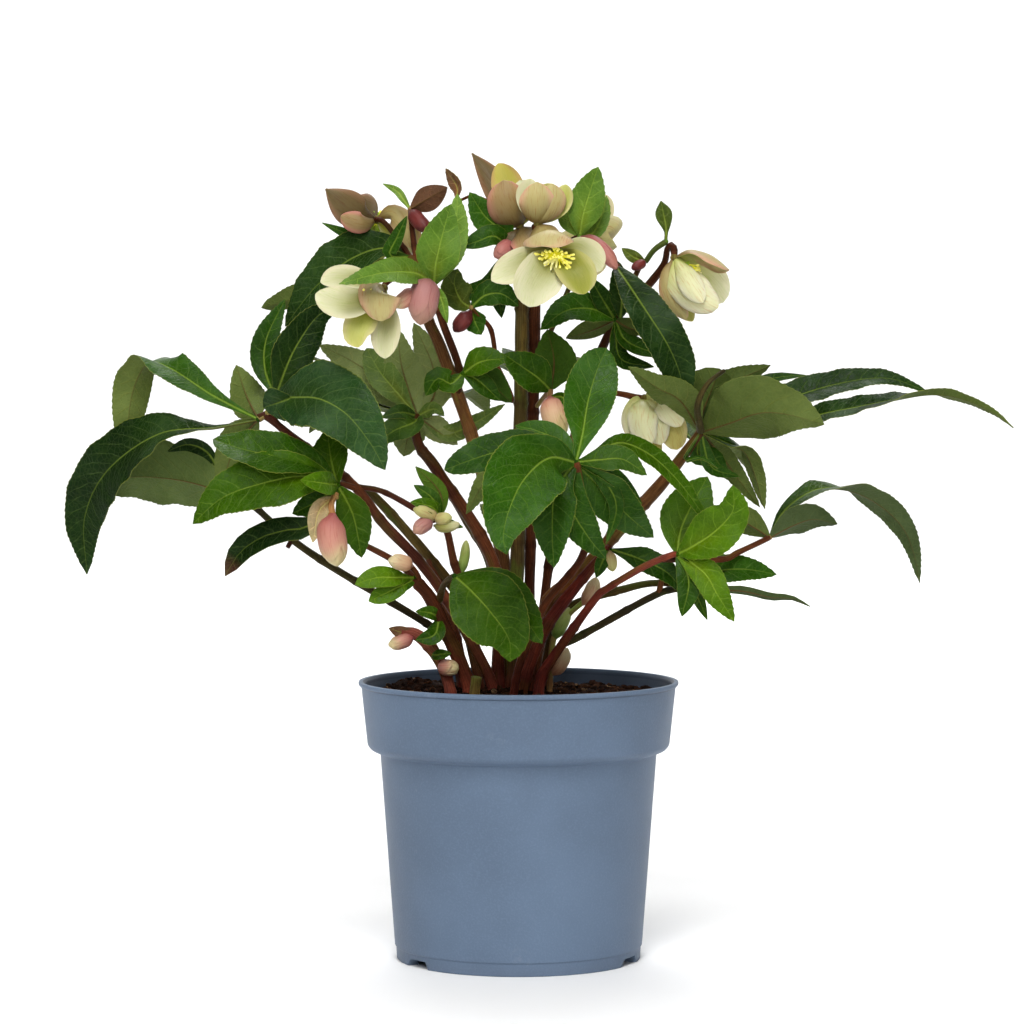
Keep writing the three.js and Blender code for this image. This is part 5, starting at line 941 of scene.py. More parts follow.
def leafBlade(heap, row, heart, facing, finish):
    # Width is the outline's swell with forward saw teeth. The halves fold up from the midrib in shallow
    # arches, the margins wave by two sines, and a rib runs beneath, e ^ -(across / ribWidth) ^ 2.
    # Words after the outline's name give the blade a tint of its own, or a withered tip.
    shape = leafShape
    kind, halfWidth, *places = row
    kind, *marks = kind.split()
    finish = next((mark for mark in marks if mark in tints and "Underside" not in mark), finish)
    widest, fullness, foot, toothed = outlines[kind]
    walk, length = fromHeart(heart, places)
    share, saw = bladeRows(length, toothed)
    point, ahead, turn = walk(share)
    face, side = sidesOf(ahead, turn, facing)
    narrowed = 1 - foot * (1 - eased(0.06, 0.42, share))
    least = np.where(share < 0.25, 1.0, 0.25)
    width = np.maximum(halfWidth * swell(widest, fullness, share) * narrowed, least)
    bite = shape["toothDepth"] * min(1, halfWidth / shape["fullTooth"]) * saw * eased(0.1, 0.3, share)
    ribEdge = shape["ribWidth"] / np.maximum(width, 2.5) * 0.8
    outer = np.array(shape["columns"])
    steady = np.tile([*-outer, 0, *outer], (len(share), 1))
    columns = np.sort(np.column_stack([steady, -ribEdge, ribEdge]), axis=1)
    reach, count = np.abs(columns), columns.shape[1]
    margin = reach > 0.99
    across = columns * width[:, None] + np.sign(columns) * margin * bite[:, None]
    fold = math.tan(math.radians(shape["fold"])) * width / (width + 1)
    phase = dice.uniform(0, cycle, 4)
    along = share * length
    wavelength = dice.uniform(*shape["wavelength"])
    wave = (np.sin(along[:, None] * cycle / wavelength + np.where(columns > 0, phase[0], phase[1]))
            + 0.5 * np.sin(along[:, None] * cycle / (wavelength * 0.53)
                           + np.where(columns > 0, phase[2], phase[3])))
    waving = (shape["wave"] * width * eased(0.05, 0.3, share))[:, None]
    arch = (np.sqrt(reach ** 2 + 0.01) - 0.1) * (1 + 0.35 * (1 - reach ** 2))
    lift = arch * (fold * width)[:, None] + wave * waving * reach ** 2
    midrib = np.exp(-(across / shape["ribWidth"]) ** 2)
    body = shape["edge"] + (shape["middle"] - shape["edge"]) * (1 - reach ** 2)
    sink = shape["sink"] * midrib * (1 - share)[:, None]
    bulge = shape["rib"] * midrib * (1.1 - share)[:, None]
    forward = 0.25 * saw[:, None] * margin * dice.uniform(*shape["toothJitter"], columns.shape)
    step = ahead[:, None] * forward[..., None]
    top = sheet(point, side, face, across, lift + (body / 2 - sink)) + step
    bottom = sheet(point, side, face, across, lift + (-body / 2 - bulge)) + step
    where = layered(across, across, along[:, None], share[:, None])
    chance = dice.random()
    tone = layered(across, chance, reach, 0)
    blend = np.clip(chance + 0.25 * np.sin(along / shape["tintRun"] + phase[0]), 0, 1)
    under = next((mark for mark in marks if "Underside" in mark), "underside")
    own = shade(*tints[finish], blend)
    front, back = own, shade(*tints[under], blend)
    if "tip" in marks:
        withered = (share > shape["witheredFrom"])[:, None]
        front, back = (np.where(withered, shade(*tints["cutTip"], chance), hue) for hue in (front, back))
    if finish in ("purpleBract", "brownBract"):
        back = own * 1.1
    elif finish in ("youngLeaf", "brightLeaf", "bract"):
        back = own * 0.9 + 0.25 * back
    paint = np.stack([front] * count + [back] * count, axis=1)
    kinds = np.array([topKind] * count + [backKind] * (count - 1) + [topKind])
    addSkin(heap, backToBack(top, bottom), backToBack(where, where), backToBack(tone, tone), paint,
            kinds, (topKind, topKind))


sepalShape = {"cupping": 1.25, "middle": 0.75, "edge": 0.35, "rows": 17, "columns": 13, "crowding": 0.85,
              "ripple": 0.045, "wave": 0.03, "rim": (0.5, 0.9)}
# Where a sepal is widest and how full it is.
sepalOutlines = {"plain": (0.64, 0.58), "full": (0.52, 0.42), "sharp": (0.5, 0.9)}


def sepalOf(heap, row, heart, colours, facing, outline):
    # The width swells late, the sides rise by cup * (reach / 4 + 3 / 4 * reach ^ 2) of it, and the lip
    # ripples by two sines.
    shape = sepalShape
    halfWidth, cup, *places = row
    walk, length = fromHeart(heart, places)
    start = leafShape["rootOffset"] / length
    share = np.concatenate([[start], np.linspace(0.09, 0.97, shape["rows"]), [1.0]])
    point, ahead, turn = walk(share)
    face, side = sidesOf(ahead, turn, facing)
    width = halfWidth * swell(*sepalOutlines[outline], share)
    width = np.maximum(width, np.where(share < 0.5, 1.4, 0.5))[:, None]
    even = np.linspace(-1, 1, shape["columns"])
    columns = np.tile(np.sign(even) * np.abs(even) ** shape["crowding"], (len(share), 1))
    reach, count = np.abs(columns), columns.shape[1]
    phase = dice.uniform(0, cycle, 3)
    across = columns * width
    along, spread = (share * length)[:, None], np.broadcast_to(share[:, None], across.shape)
    ripple = (np.sin(along / 3.1 + phase[0] + np.where(columns > 0, 2.0, 0.0)) * shape["ripple"] * reach ** 3
              + np.sin(along / 7 + phase[1] + columns * 2) * shape["wave"])
    cupped = cup * shape["cupping"] * (0.25 * reach + 0.75 * reach ** 2)
    lift = (cupped + ripple * eased(0.1, 0.5, spread)) * width
    body = shape["edge"] + (shape["middle"] - shape["edge"]) * (1 - reach ** 2)
    faceFoot, faceLip, backFoot, backLip, backMiddle, rim = colours
    inner = shade(faceFoot, faceLip, eased(0.12, 1.2, spread + 0.5 * reach ** 2))
    outer = shade(backFoot, backLip, eased(0.1, 0.95, spread))
    outer = shade(outer, backMiddle, (1 - reach ** 1.5) * 0.75 * eased(0.02, 0.3, spread))
    rimmed = eased(0.5, 1.0, reach) * eased(0.15, 0.7, spread) * dice.uniform(*shape["rim"])
    where = layered(across, across, along, spread)
    tone = layered(across, dice.random() * 40, reach, spread)
    kinds = np.array([faceKind] * (count - 1) + [outsideKind] * (count + 1))
    top = sheet(point, side, face, across, lift + body / 2)
    bottom = sheet(point, side, face, across, lift - body / 2)
    addSkin(heap, backToBack(top, bottom), backToBack(where, where), backToBack(tone, tone),
            backToBack(shade(inner, rim, rimmed), shade(outer, rim, rimmed)), kinds, (outsideKind, faceKind))


stalkShape = {"step": 2.2, "jointsFrom": 30, "firstJoint": (8, 22), "jointPitch": (24, 40), "jointLength": 1.5,
              "jointSwell": 0.16, "wobble": 0.03, "ribs": 3, "ribDepth": 0.035, "thick": 2.1, "grain": 4,
              "rosy": 0.55, "rosyFrom": 192, "rosyTo": 158}


def stalk(heap, row, tint):
    # A tube whose radius eases along the run, with a swollen ring, e ^ -(distance / jointLength) ^ 2, at
    # every old leaf joint of a long one, and a rosy foot on a thick one.
    shape = stalkShape
    walk, length = pathOf(row)
    share = np.linspace(0, 1, max(int(length / shape["step"]), 5))
    point, ahead, radius = walk(share)
    along = share * length
    joints = []
    if length > shape["jointsFrom"]:
        joints = np.arange(dice.uniform(*shape["firstJoint"]), length, dice.uniform(*shape["jointPitch"]))
    rings = sum((np.exp(-((along - joint) / shape["jointLength"]) ** 2) for joint in joints), 0 * share)
    wobble = shape["wobble"] * np.sin(along / 4.3 + dice.uniform(0, 6))
    radius = radius * (1 + shape["jointSwell"] * rings + wobble)
    thick = radius.max() > shape["thick"]
    angle = around(12 if thick else 8)
    ribs = shape["ribDepth"] * np.cos(shape["ribs"] * angle + dice.uniform(0, 6))
    ribbed = radius[:, None] * (1 + ribs)
    face, side = sidesOf(ahead)
    points = ringAbout(point, side, -face, angle, ribbed)
    drift = np.sin(along / dice.uniform(18, 30) + dice.uniform(0, 6))
    paint = shade(*tints[tint], np.clip(0.5 + 0.5 * drift - 0.5 * rings, 0, 1))[:, None]
    rosy = shape["rosy"] * eased(shape["rosyFrom"], shape["rosyTo"], points[..., 2]) * thick
    x, y = shape["grain"] * np.cos(angle), shape["grain"] * np.sin(angle)
    where = layered(ribbed, x, along[:, None] + y, share[:, None])
    paint = shade(paint, tints["roseStem"][0], rosy)
    addSkin(heap, points, where, (dice.random(), 0, 0), paint, stalkKind, lean=0.3)


# Foot, middle and tip of a bud.
budTints = linearTable({
    "pink": ((158, 82, 80), (188, 132, 114), (206, 192, 142)),
    "flushed": ((162, 90, 82), (206, 168, 132), (208, 200, 132)),
    "rose": ((138, 76, 72), (164, 98, 92), (172, 116, 104)),
    "mauve": ((132, 84, 84), (166, 114, 108), (176, 136, 116)),
    "peach": ((172, 118, 90), (192, 158, 122), (204, 190, 148)),
    "cream": ((158, 132, 92), (178, 166, 110), (174, 172, 108)),
    "green": ((92, 120, 46), (132, 150, 72), (160, 168, 98)),
    "red": ((80, 28, 30), (108, 44, 40), (88, 36, 34)),
    "olive": ((106, 110, 52), (138, 138, 74), (192, 190, 146)),
})
budShape = {"rows": 15, "columns": 20, "neck": 0.36, "blunt": 0.55, "pleats": 5, "pleatDepth": 0.05,
            "shells": 3, "shellsFrom": 4, "shellReach": 0.97, "shellStep": 0.06, "shellWrap": 1.25,
            "shellThick": 0.4, "shellOut": 1.03, "shellApart": 0.12}


def budSwell(share):  # a quick swell from the neck, full for most of the length, and a blunt tip
    neck = 1 - (1 - np.clip(share / budShape["neck"], 0, 1)) ** 2
    tip = 1 - np.clip((share - budShape["blunt"]) / 0.47, 0, 1) ** 2.3
    return np.clip(neck, 0.25, 1) * np.clip(tip, 0.03, 1) ** 0.6


def budOf(heap, row):
    # Folded sepals: a body that swells and closes to a blunt tip, and over it shells that each wrap part of
    # the way round and stop short of the tip.
    shape = budShape
    hue, size, *places = row
    walk, length = pathOf([[*place, 0] for place in places])
    foot, middle, tip = budTints[hue]
    shells = shape["shells"] if size > shape["shellsFrom"] else 0
    share = np.linspace(0, 1, shape["rows"])
    angle = around(shape["columns"])
    turn = dice.uniform(0, cycle)
    pleats = shape["pleatDepth"] * np.cos(shape["pleats"] * angle + turn) * eased(0.5, 1, share)[:, None]
    radius = size * budSwell(share)[:, None] * (1 + pleats) * (0.93 if shells else 1)
    point, ahead, _ = walk(share)
    face, side = sidesOf(ahead)
    where = layered(radius, angle * size, share[:, None] * length, share[:, None])
    paint = shade(shade(foot, middle, eased(0.05, 0.55, share)), tip, eased(0.5, 1, share))[:, None]
    body = ringAbout(point, side, -face, angle, radius)
    addSkin(heap, body, where, (dice.random() * 40, 0, 0), paint, budKind, lean=size * 0.1)
    wrap = np.linspace(-1, 1, 12)
    rows = np.linspace(0.02, 1, 13)
    taper = np.clip(1 - rows ** 3, 0.03, 1) ** 0.5
    for k in range(shells):
        theta = turn + k * fullTurn / shells + wrap * (shape["shellWrap"] * taper)[:, None]
        level = rows * (shape["shellReach"] - shape["shellStep"] * k)
        spread = level[:, None] + 0 * theta
        point, ahead, _ = walk(level)
        face, side = sidesOf(ahead)
        bulged = shape["shellOut"] - 0.02 * wrap ** 2
        outer = (size * budSwell(level))[:, None] * bulged + shape["shellApart"] * (k % 2)
        outside = ringAbout(point, side, -face, theta, outer)
        inside = ringAbout(point, side, -face, theta, outer - shape["shellThick"])
        where = layered(theta, theta * size, spread * length, spread)
        paint = shade(foot, middle, eased(0.05, 0.6, spread))
        paint = shade(paint, tip, eased(0.55, 1.05, spread + 0.12 * wrap ** 2))
        addSkin(heap, backToBack(outside, inside), backToBack(where, where), (dice.random() * 40, 0, 0),
                backToBack(paint, paint * 0.8), budKind)


def lump(heap, place, size, tint):  # a small egg where the stalks meet
    centre = spots(place)[0]
    lean = np.linspace(0.12, np.pi - 0.12, 7)[:, None]
    points = centre + size * turned(np.sin(lean), -np.cos(lean), 10)
    addSkin(heap, points, points - centre, (0.5, 0, 0), shade(*tints[tint], 0.5), stalkKind, lean=size * 0.01)


threadTints = linearTable({
    "stamen": ((250, 246, 70), (244, 236, 120)),
    "style": ((236, 236, 150), (240, 236, 180)),
    "nectary": ((150, 172, 60), (120, 150, 40)),
})
# (share of the length, radius, share of the colour) from root to tip
threadProfiles = {
    "stamen": [[0, 0.45, 0], [0.45, 0.36, 0], [0.8, 0.28, 0.1], [0.84, 0.8, 1], [0.95, 0.95, 1],
               [1, 0.45, 1]],
    "style": [[0, 1.1, 0], [0.4, 0.95, 0.3], [0.85, 0.75, 1], [1, 0.5, 1]],
    "nectary": [[0, 0.4, 0], [0.5, 0.75, 0.4], [0.9, 0.95, 1], [1, 0.7, 0.2]],
}
tuftShape = {"styles": 6, "styleSpread": 0.2, "styleLength": 1.15, "nectaries": 12, "nectarySpread": 1.5,
             "nectaryLength": 4.2, "goldenAngle": 137.5, "stray": 0.1, "bend": (-0.12, 0.3),
             "lengths": (0.82, 1.06)}


def threadAt(heap, root, out, bend, length, kind):
    # A thread leaves its root along out and bends over: root + (out * t + bend * t^2) * length.
    share, radius, tone = np.array(threadProfiles[kind], float).T
    t = share[:, None]
    point = root + (out * t + bend * t ** 2) * length
    ahead = unit(out + 2 * bend * t)
    square = unit(np.cross(ahead, [0.31, 0.52, 0.79]))
    points = ringAbout(point, square, np.cross(ahead, square), around(4), radius[:, None])
    paint = shade(*threadTints[kind], tone)[:, None]
    addSkin(heap, points, (0, 0, 0), (0, 0, 0), paint, threadKind, lean=0.1)


def tuftOf(heap, tuft):
    # Threads by the golden angle in a cone about the way the flower looks, styles in the middle and small
    # green nectaries round the foot. The lean grows with the root of the thread's number, to spread them
    # evenly.
    shape = tuftShape
    centre, look = spots([tuft["heart"], tuft["look"]])
    axis = unit(look - centre)
    one = unit(np.cross(axis, [0.2, 0.3, 0.93]))
    two = np.cross(axis, one)
    for kind, number, spread, length, fromShare in (
            ("stamen", tuft["count"], tuft["spread"], tuft["length"], 0.12),
            ("style", shape["styles"], tuft["spread"] * shape["styleSpread"],
             tuft["length"] * shape["styleLength"], 0.0),
            ("nectary", shape["nectaries"], tuft["spread"] * shape["nectarySpread"],
             shape["nectaryLength"], 0.9)):
        for i in range(number):
            stray = dice.uniform(-shape["stray"], shape["stray"])
            bearing = i * math.radians(shape["goldenAngle"]) + stray
            lean = math.radians(spread) * math.sqrt(fromShare + (1 - fromShare) * (i + 0.5) / number)
            aside = one * math.cos(bearing) + two * math.sin(bearing)
            out = axis * math.cos(lean) + aside * math.sin(lean)
            bend = aside * dice.uniform(*shape["bend"]) + axis * -0.04
            root = centre + aside * (0.6 + 2.1 * math.sin(lean)) + axis * 0.6
            threadAt(heap, root, out, bend, length * dice.uniform(*shape["lengths"]), kind)


# Sepal colours: the foot and lip of the inner face, the foot, lip and middle of the outside, and the rim.
sepalTints = linearTable({
    "cream": ((122, 124, 34), (202, 200, 164), (150, 152, 76), (190, 184, 138), (170, 158, 108),
              (202, 192, 160)),
    "olive": ((96, 98, 26), (146, 148, 62), (120, 124, 50), (166, 158, 96), (140, 134, 70),
              (196, 184, 140)),
    "white": ((150, 156, 70), (212, 210, 180), (166, 170, 90), (212, 210, 176), (202, 200, 154),
              (214, 208, 180)),
    "yellow": ((134, 146, 42), (184, 182, 104), (136, 146, 52), (180, 172, 106), (164, 156, 84),
               (196, 186, 136)),
    "straw": ((140, 138, 50), (186, 176, 84), (134, 134, 62), (174, 160, 98), (162, 140, 84),
              (184, 132, 104)),
    "blush": ((134, 146, 54), (192, 184, 136), (110, 88, 48), (184, 170, 120), (166, 154, 98),
              (198, 150, 126)),
    "pink": ((146, 146, 68), (186, 172, 130), (84, 68, 38), (166, 136, 96), (132, 114, 70),
             (188, 118, 110)),
    "brown": ((96, 86, 46), (116, 102, 62), (70, 56, 34), (104, 88, 56), (84, 72, 42), (132, 96, 76)),
})
heartPlaces = [piece["heart"] for table in (leaves, buds, blooms, stems) for piece in table.values()
               if "heart" in piece]
hearts = spots(heartPlaces)
plantLook = {"near": 1.5, "join": 9.0, "joinTaper": 0.9, "leafLump": 1.6, "bloomLump": 2.4}


def reached(run):  # a stem that stops just short of a heart is led into it
    away = np.linalg.norm(hearts - spots(run[-1][:3]), axis=1)
    nearest = int(away.argmin())
    if plantLook["near"] < away[nearest] < plantLook["join"]:
        return [*run, [*heartPlaces[nearest], run[-1][3] * plantLook["joinTaper"]]]
    return run


def plainName(node):  # leaf_far_left becomes leafFarLeft
    first, *rest = node.split("_")
    return first + "".join(word.capitalize() for word in rest)


def growPiece(node, piece, stemTint):
    # Stalks first, then the lump that the blades or sepals meet in, then the blades, and the buds last.
    heap = newHeap()
    finish = piece.get("finish", "sepal")
    facing = facings[piece.get("facing", "front")]
    heart = piece.get("heart")
    for place, run in enumerate(piece.get("runs", [])):
        stalk(heap, reached(run), piece.get("runTints", {}).get(place, stemTint))
    if "sepals" in piece:
        lump(heap, heart, plantLook["bloomLump"], "bloomHeart")
        for hue, *row in piece["sepals"]:
            hue, *words = hue.split()
            outline = next((word for word in words if word in sepalOutlines), "plain")
            way = facings["up" if "up" in words else "front"]
            sepalOf(heap, row, heart, sepalTints[hue], way, outline)
    elif heart:
        lumpTint = finish if finish in ("leaf", "youngLeaf", "bract") else "pedicel"
        lump(heap, heart, plantLook["leafLump"], lumpTint)
    leafTint = finish if finish in tints and "Stem" not in finish else "youngLeaf"
    for root, row in [[heart, row] for row in piece.get("blades", [])] + piece.get("extraBlades", []):
        leafBlade(heap, row, root, facing, leafTint)
    for row in piece.get("buds", []):
        budOf(heap, row)
    makePiece(plainName(node), heap, plantFinishes, [node])


for node, piece in stems.items():
    growPiece(node, piece, piece["finish"])
print("stems grown:", len(stems))
for table in (buds, leaves):
    for node, piece in table.items():
        growPiece(node, piece, "pedicel")
print("leaves and buds grown:", len(leaves) + len(buds))
for node, piece in blooms.items():
    growPiece(node, piece, "pedicel")
    if "stamens" in piece:
        tuft = newHeap()
        tuftOf(tuft, piece["stamens"])
        stamenNode = node.replace("bloom", "stamens")
        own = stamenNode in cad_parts
        makePiece(plainName(stamenNode), tuft, plantFinishes, [stamenNode] if own else [])
print("blooms opened:", len(blooms))

potShape = {"sides": 192, "notches": (-55, 65, 185), "notchWidth": 19, "notchHeight": 4.6,
            "footRadius": 72.0, "footFrom": 60, "drains": 4, "drainRadius": 4, "drainRing": 42,
            "drainHeight": 7, "drillLength": 30}
# (radius, height, rounding of the corner), from the middle of the underside, up the outside and down the
# inside
potOutline = [
    (0, 6, 0), (65.2, 6, 0.8), (65.7, 0, 0.5), (72.4, 0, 0.7), (72.75, 7.2, 0.2), (73.0, 7.7, 0.2),
    (73.55, 8.2, 0.3), (82.1, 122.6, 0.6), (87.4, 124.5, 1.2), (89.6, 127.0, 1.6), (93.3, 161.6, 0.3),
    (93.9, 161.9, 0.2), (95, 163.0, 0.7), (94.9, 164.9, 0.5), (92.6, 165.0, 0.5), (91.3, 163.4, 0.6),
    (87.6, 127.6, 0.8), (80.4, 122.4, 0.8), (72.1, 7.8, 1.0), (0, 7.8, 0),
]


def rounded(outline, steps=4):
    # Each corner becomes a short curve: the two cut points and the corner as a quadratic.
    made = []
    corners = np.asarray(outline, float)
    for before, (x, y, cut), after in zip(corners, corners[1:-1], corners[2:]):
        corner = np.array([x, y])
        ways = [place[:2] - corner for place in (before, after)]
        starts = [corner + way * min(cut / np.linalg.norm(way), 0.45) for way in ways]
        t = np.linspace(0, 1, steps)[:, None]
        made.append((1 - t) ** 2 * starts[0] + 2 * t * (1 - t) * corner + t ** 2 * starts[1])
    return np.vstack([corners[0, :2], *made, corners[-1, :2]])


# Colours in 0..255. The heights and radii here are in metres, as the surface itself knows them.
potLook = {"roughness": 0.5, "specular": 0.16, "shade": (90, 106, 127), "light": (100, 118, 141),
           "speck": (122, 140, 164), "dust": (134, 144, 158), "low": (92, 102, 118), "soiled": (56, 64, 78),
           "line": (50, 60, 76), "lowFrom": 0.012, "collar": (0.1262, 0.1268), "wall": (0.0755, 0.0752),
           "wallSlope": 0.1034, "lineHeight": 0.1619, "lineWidth": (0.0006, 0.0002), "relief": 0.00012}


def potFinish():
    # Satin moulded plastic: faint speckle, slow tonal drift, fine rubbed lines round it, dust low down, a
    # painted shadow line under the lip, and painted shade on the inside of the collar above the peat.
    look = potLook
    material, tree, shader = newFinish("potPlastic", look["roughness"], look["specular"])
    spot = ownPlace(tree)
    x, y, z = parts(tree, spot)
    drift = clouds(tree, spot, 9, 3.0)
    speck = clouds(tree, spot, 900, 2.0)
    scuff = clouds(tree, spot, 45, 5.0, 0.7)
    rubbed = joined(tree, times(tree, x, 4.0), times(tree, y, 4.0), times(tree, z, 260.0))
    lines = clouds(tree, rubbed, 1.0, 3.0)
    body = mixed(tree, rise(tree, drift, 0.3, 0.7), linear(look["shade"]), linear(look["light"]))
    specked = mixed(tree, rise(tree, speck, 0.45, 0.7, 0.0, 0.14), body, linear(look["speck"]))
    dusty = mixed(tree, rise(tree, scuff, 0.62, 0.8, 0.0, 0.35), specked, linear(look["dust"]))
    low = mixed(tree, rise(tree, z, look["lowFrom"], 0.0, 0.0, 0.3), dusty, linear(look["low"]))
    # Painted shade: the inside wall of the collar above the peat is darkened, standing in for the shade that
    # falls there.
    apart = calc(tree, "SQRT", timesPlus(tree, x, x, times(tree, y, y)))
    within = times(tree, rise(tree, timesPlus(tree, z, -look["wallSlope"], apart), *look["wall"]),
                   rise(tree, z, *look["collar"]))
    soiled = mixed(tree, times(tree, within, 0.8), low, linear(look["soiled"]))
    # Painted shadow: a thin dark line round the step under the lip, standing in for the shadow below the bead.
    fromLine = calc(tree, "ABSOLUTE", calc(tree, "SUBTRACT", z, look["lineHeight"]))
    groove = rise(tree, fromLine, *look["lineWidth"], 0.0, 0.6)
    lined = mixed(tree, groove, soiled, linear(look["line"]))
    paintWith(tree, shader, lined, timesPlus(tree, scuff, 0.22, 0.36))
    relief(tree, shader, timesPlus(tree, lines, 0.5, speck), look["relief"])
    return material


def turnPot():
    # The outline is turned about the upright axis, and the foot ring is lifted where the notches are.
    shape = potShape
    outline = rounded(potOutline)[1:-1]
    radius, height = outline[:, :1], outline[:, 1:]
    points = turned(radius, height, shape["sides"])
    angle = around(shape["sides"])
    halfNotch = shape["notchWidth"] / 2 / shape["footRadius"]
    lifted = 0
    for bearing in shape["notches"]:
        apart = np.abs((angle - math.radians(bearing - 90) + np.pi) % fullTurn - np.pi)
        lifted = lifted + 1 - eased(halfNotch - 0.02, halfNotch + 0.005, apart)
    foot = (height < shape["notchHeight"]) & (radius > shape["footFrom"])
    raised = np.maximum(points[..., 2], lifted * shape["notchHeight"])
    points[..., 2] = np.where(foot, raised, points[..., 2])
    heap = newHeap()
    addSkin(heap, points, points, (0, 0, 0), (0.1, 0.12, 0.16), 0)
    return makePiece("nurseryPot", heap, [potFinish()], [], 40)


def drill(piece):
    # Round holes go through the floor of the pot, cut and then kept in the mesh.
    shape = potShape
    bpy.ops.mesh.primitive_cylinder_add(vertices=32, radius=shape["drainRadius"] * toMetres,
                                        depth=shape["drillLength"] * toMetres)
    bit = bpy.context.object
    for turn in around(shape["drains"]) + fullTurn / shape["drains"] / 2:
        way = np.array([shape["drainRing"] * math.cos(turn), shape["drainRing"] * math.sin(turn),
                        shape["drainHeight"]])
        bit.location = way * toMetres
        bpy.context.view_layer.update()
        cut = piece.modifiers.new("hole", "BOOLEAN")
        cut.object, cut.operation, cut.solver = bit, "DIFFERENCE", "EXACT"
        whole = bpy.data.meshes.new_from_object(piece.evaluated_get(bpy.context.evaluated_depsgraph_get()))
        piece.modifiers.clear()
        piece.data = whole
    bpy.data.objects.remove(bit)


pot = turnPot()
drill(pot)
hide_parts("pot")
print("pot turned")

soilShape = {"edge": 155, "crown": 161, "spread": 46, "heapAt": (-65, 50), "heapWidth": 20, "heapTall": 6,
             "columns": 120, "rings": 52, "rim": 89.9}
# (wave across, wave deep, its two phases, height) of each pair of crossed waves
soilWaves = ((9.1, 7.3, 0.3, 1.9, 0.9), (4.3, 5.2, 2.2, 0.7, 0.7), (2.4, 2.1, 4.0, 3.1, 0.5))
# (radius, height) of the rings inside the pot's wall, from the bottom up
soilWall = ((30, 60.2), (76.0, 60), (79.9, 118.6), (79.9, 127.9), (87.0, 128.6), (89.6, 152.0))
soilLook = {"roughness": 0.95, "specular": 0.06, "brown": (46, 28, 19), "shadow": (0.35, 0.3, 0.28),
            "relief": 0.0012}


def soilFinish():
    # Dark peat and bark: every crumb has its own brown, some pale, over a fine rough grain.
    look = soilLook
    material, tree, shader = newFinish("peat", look["roughness"], look["specular"])
    grain = clouds(tree, ownPlace(tree), 700, 5.0, 0.7)
    paint = layer(tree, "paint", "Color")
    dark = tinted(tree, paint, look["shadow"])
    paintWith(tree, shader, mixed(tree, rise(tree, grain, 0.3, 0.75), dark, paint))
    relief(tree, shader, grain, look["relief"])
    return material


def soilHeight(x, y):
    # A low crown and a small heap, each tall * e ^ -(distance / width) ^ 2, and lumps from crossed waves.
    shape = soilShape
    rough = sum(np.sin(x / a + p) * np.sin(y / b + q) * c for a, b, p, q, c in soilWaves)
    crown = (shape["crown"] - shape["edge"]) * np.exp(-(x ** 2 + y ** 2) / shape["spread"] ** 2)
    heapX, heapY = shape["heapAt"]
    fromHeap = (x - heapX) ** 2 + (y - heapY) ** 2
    heaped = shape["heapTall"] * np.exp(-fromHeap / shape["heapWidth"] ** 2)
    return shape["edge"] + crown + heaped + rough


crumbLook = {"count": 2600, "within": 88.5, "lift": 0.3, "smallest": 0.8, "more": 2.1, "tilt": 0.12,
             "rings": ((0.6, -0.8), (1.0, -0.2), (0.95, 0.45), (0.5, 0.85)), "sides": 5,
             "browns": ((58, 34, 22), (36, 22, 15), (86, 56, 36), (150, 122, 92), (64, 44, 32)),
             "chances": (0.38, 0.3, 0.18, 0.04, 0.1)}


def strewCrumbs(heap):
    # A small ring solid, stretched, tilted and spun at random for each crumb, all at once.
    look = crumbLook
    count = look["count"]
    r = look["within"] * np.sqrt(dice.random(count))
    bearing = dice.uniform(0, fullTurn, count)
    x, y = r * np.cos(bearing), r * np.sin(bearing)
    size = look["smallest"] + look["more"] * dice.random(count) ** 3
    tilt, spin = dice.uniform(0, fullTurn, (count, 2)).T[:, :, None, None]
    hue = np.array([linear(brown) for brown in look["browns"]])[dice.choice(5, count, p=look["chances"])]
    reach, level = np.array(look["rings"]).T[..., None]
    stretch = size[:, None] * dice.uniform([0.8, 0.6, 0.4], [1.6, 1.0, 0.8], (count, 3))
    shape = turned(reach, level, look["sides"])
    crumbs = shape * stretch[:, None, None] * dice.uniform(0.8, 1.2, (count, *shape.shape[:2], 1))
    tilt = tilt * look["tilt"]
    across, deep, up = np.moveaxis(crumbs, -1, 0)
    across, up = across * np.cos(tilt) + up * np.sin(tilt), up * np.cos(tilt) - across * np.sin(tilt)
    across, deep = across * np.cos(spin) - deep * np.sin(spin), across * np.sin(spin) + deep * np.cos(spin)
    middle = np.stack([x, y, soilHeight(x, y) + look["lift"]], axis=-1)
    crumbs = np.stack([across, deep, up], axis=-1) + middle[:, None, None]
    for crumb, colour in zip(crumbs, hue):
        addSkin(heap, crumb, (0, 0, 0), (0, 0, 0), colour, 0, lean=0.1)
    print("peat laid with", count, "crumbs")


def makeSoil():
    # Rings up the inside of the pot's wall, then rings in to the middle at the soil's height, and the crumbs.
    shape = soilShape
    heap = newHeap()
    wall = np.array(soilWall)
    sides = turned(wall[:, :1], wall[:, 1:], shape["columns"])
    top = turned(np.linspace(shape["rim"], 1.5, shape["rings"])[:, None], 0.0, shape["columns"])
    top[..., 2] = soilHeight(top[..., 0], top[..., 1])
    ground = np.concatenate([sides, top])
    paint = linear(soilLook["brown"]) * (0.7 + 0.6 * dice.random(ground.shape[:2])[..., None])
    addSkin(heap, ground, ground, (0, 0, 0), paint, 0)
    strewCrumbs(heap)
    makePiece("peat", heap, [soilFinish()], ["soil"], 30)


makeSoil()

stageLook = {"floor": 5.2, "rim": 3.2, "bend": 1.6, "sides": 96, "flatRings": 24, "bendRings": 14,
             "roughness": 0.75, "specular": 0.2, "worldLight": 0.045}


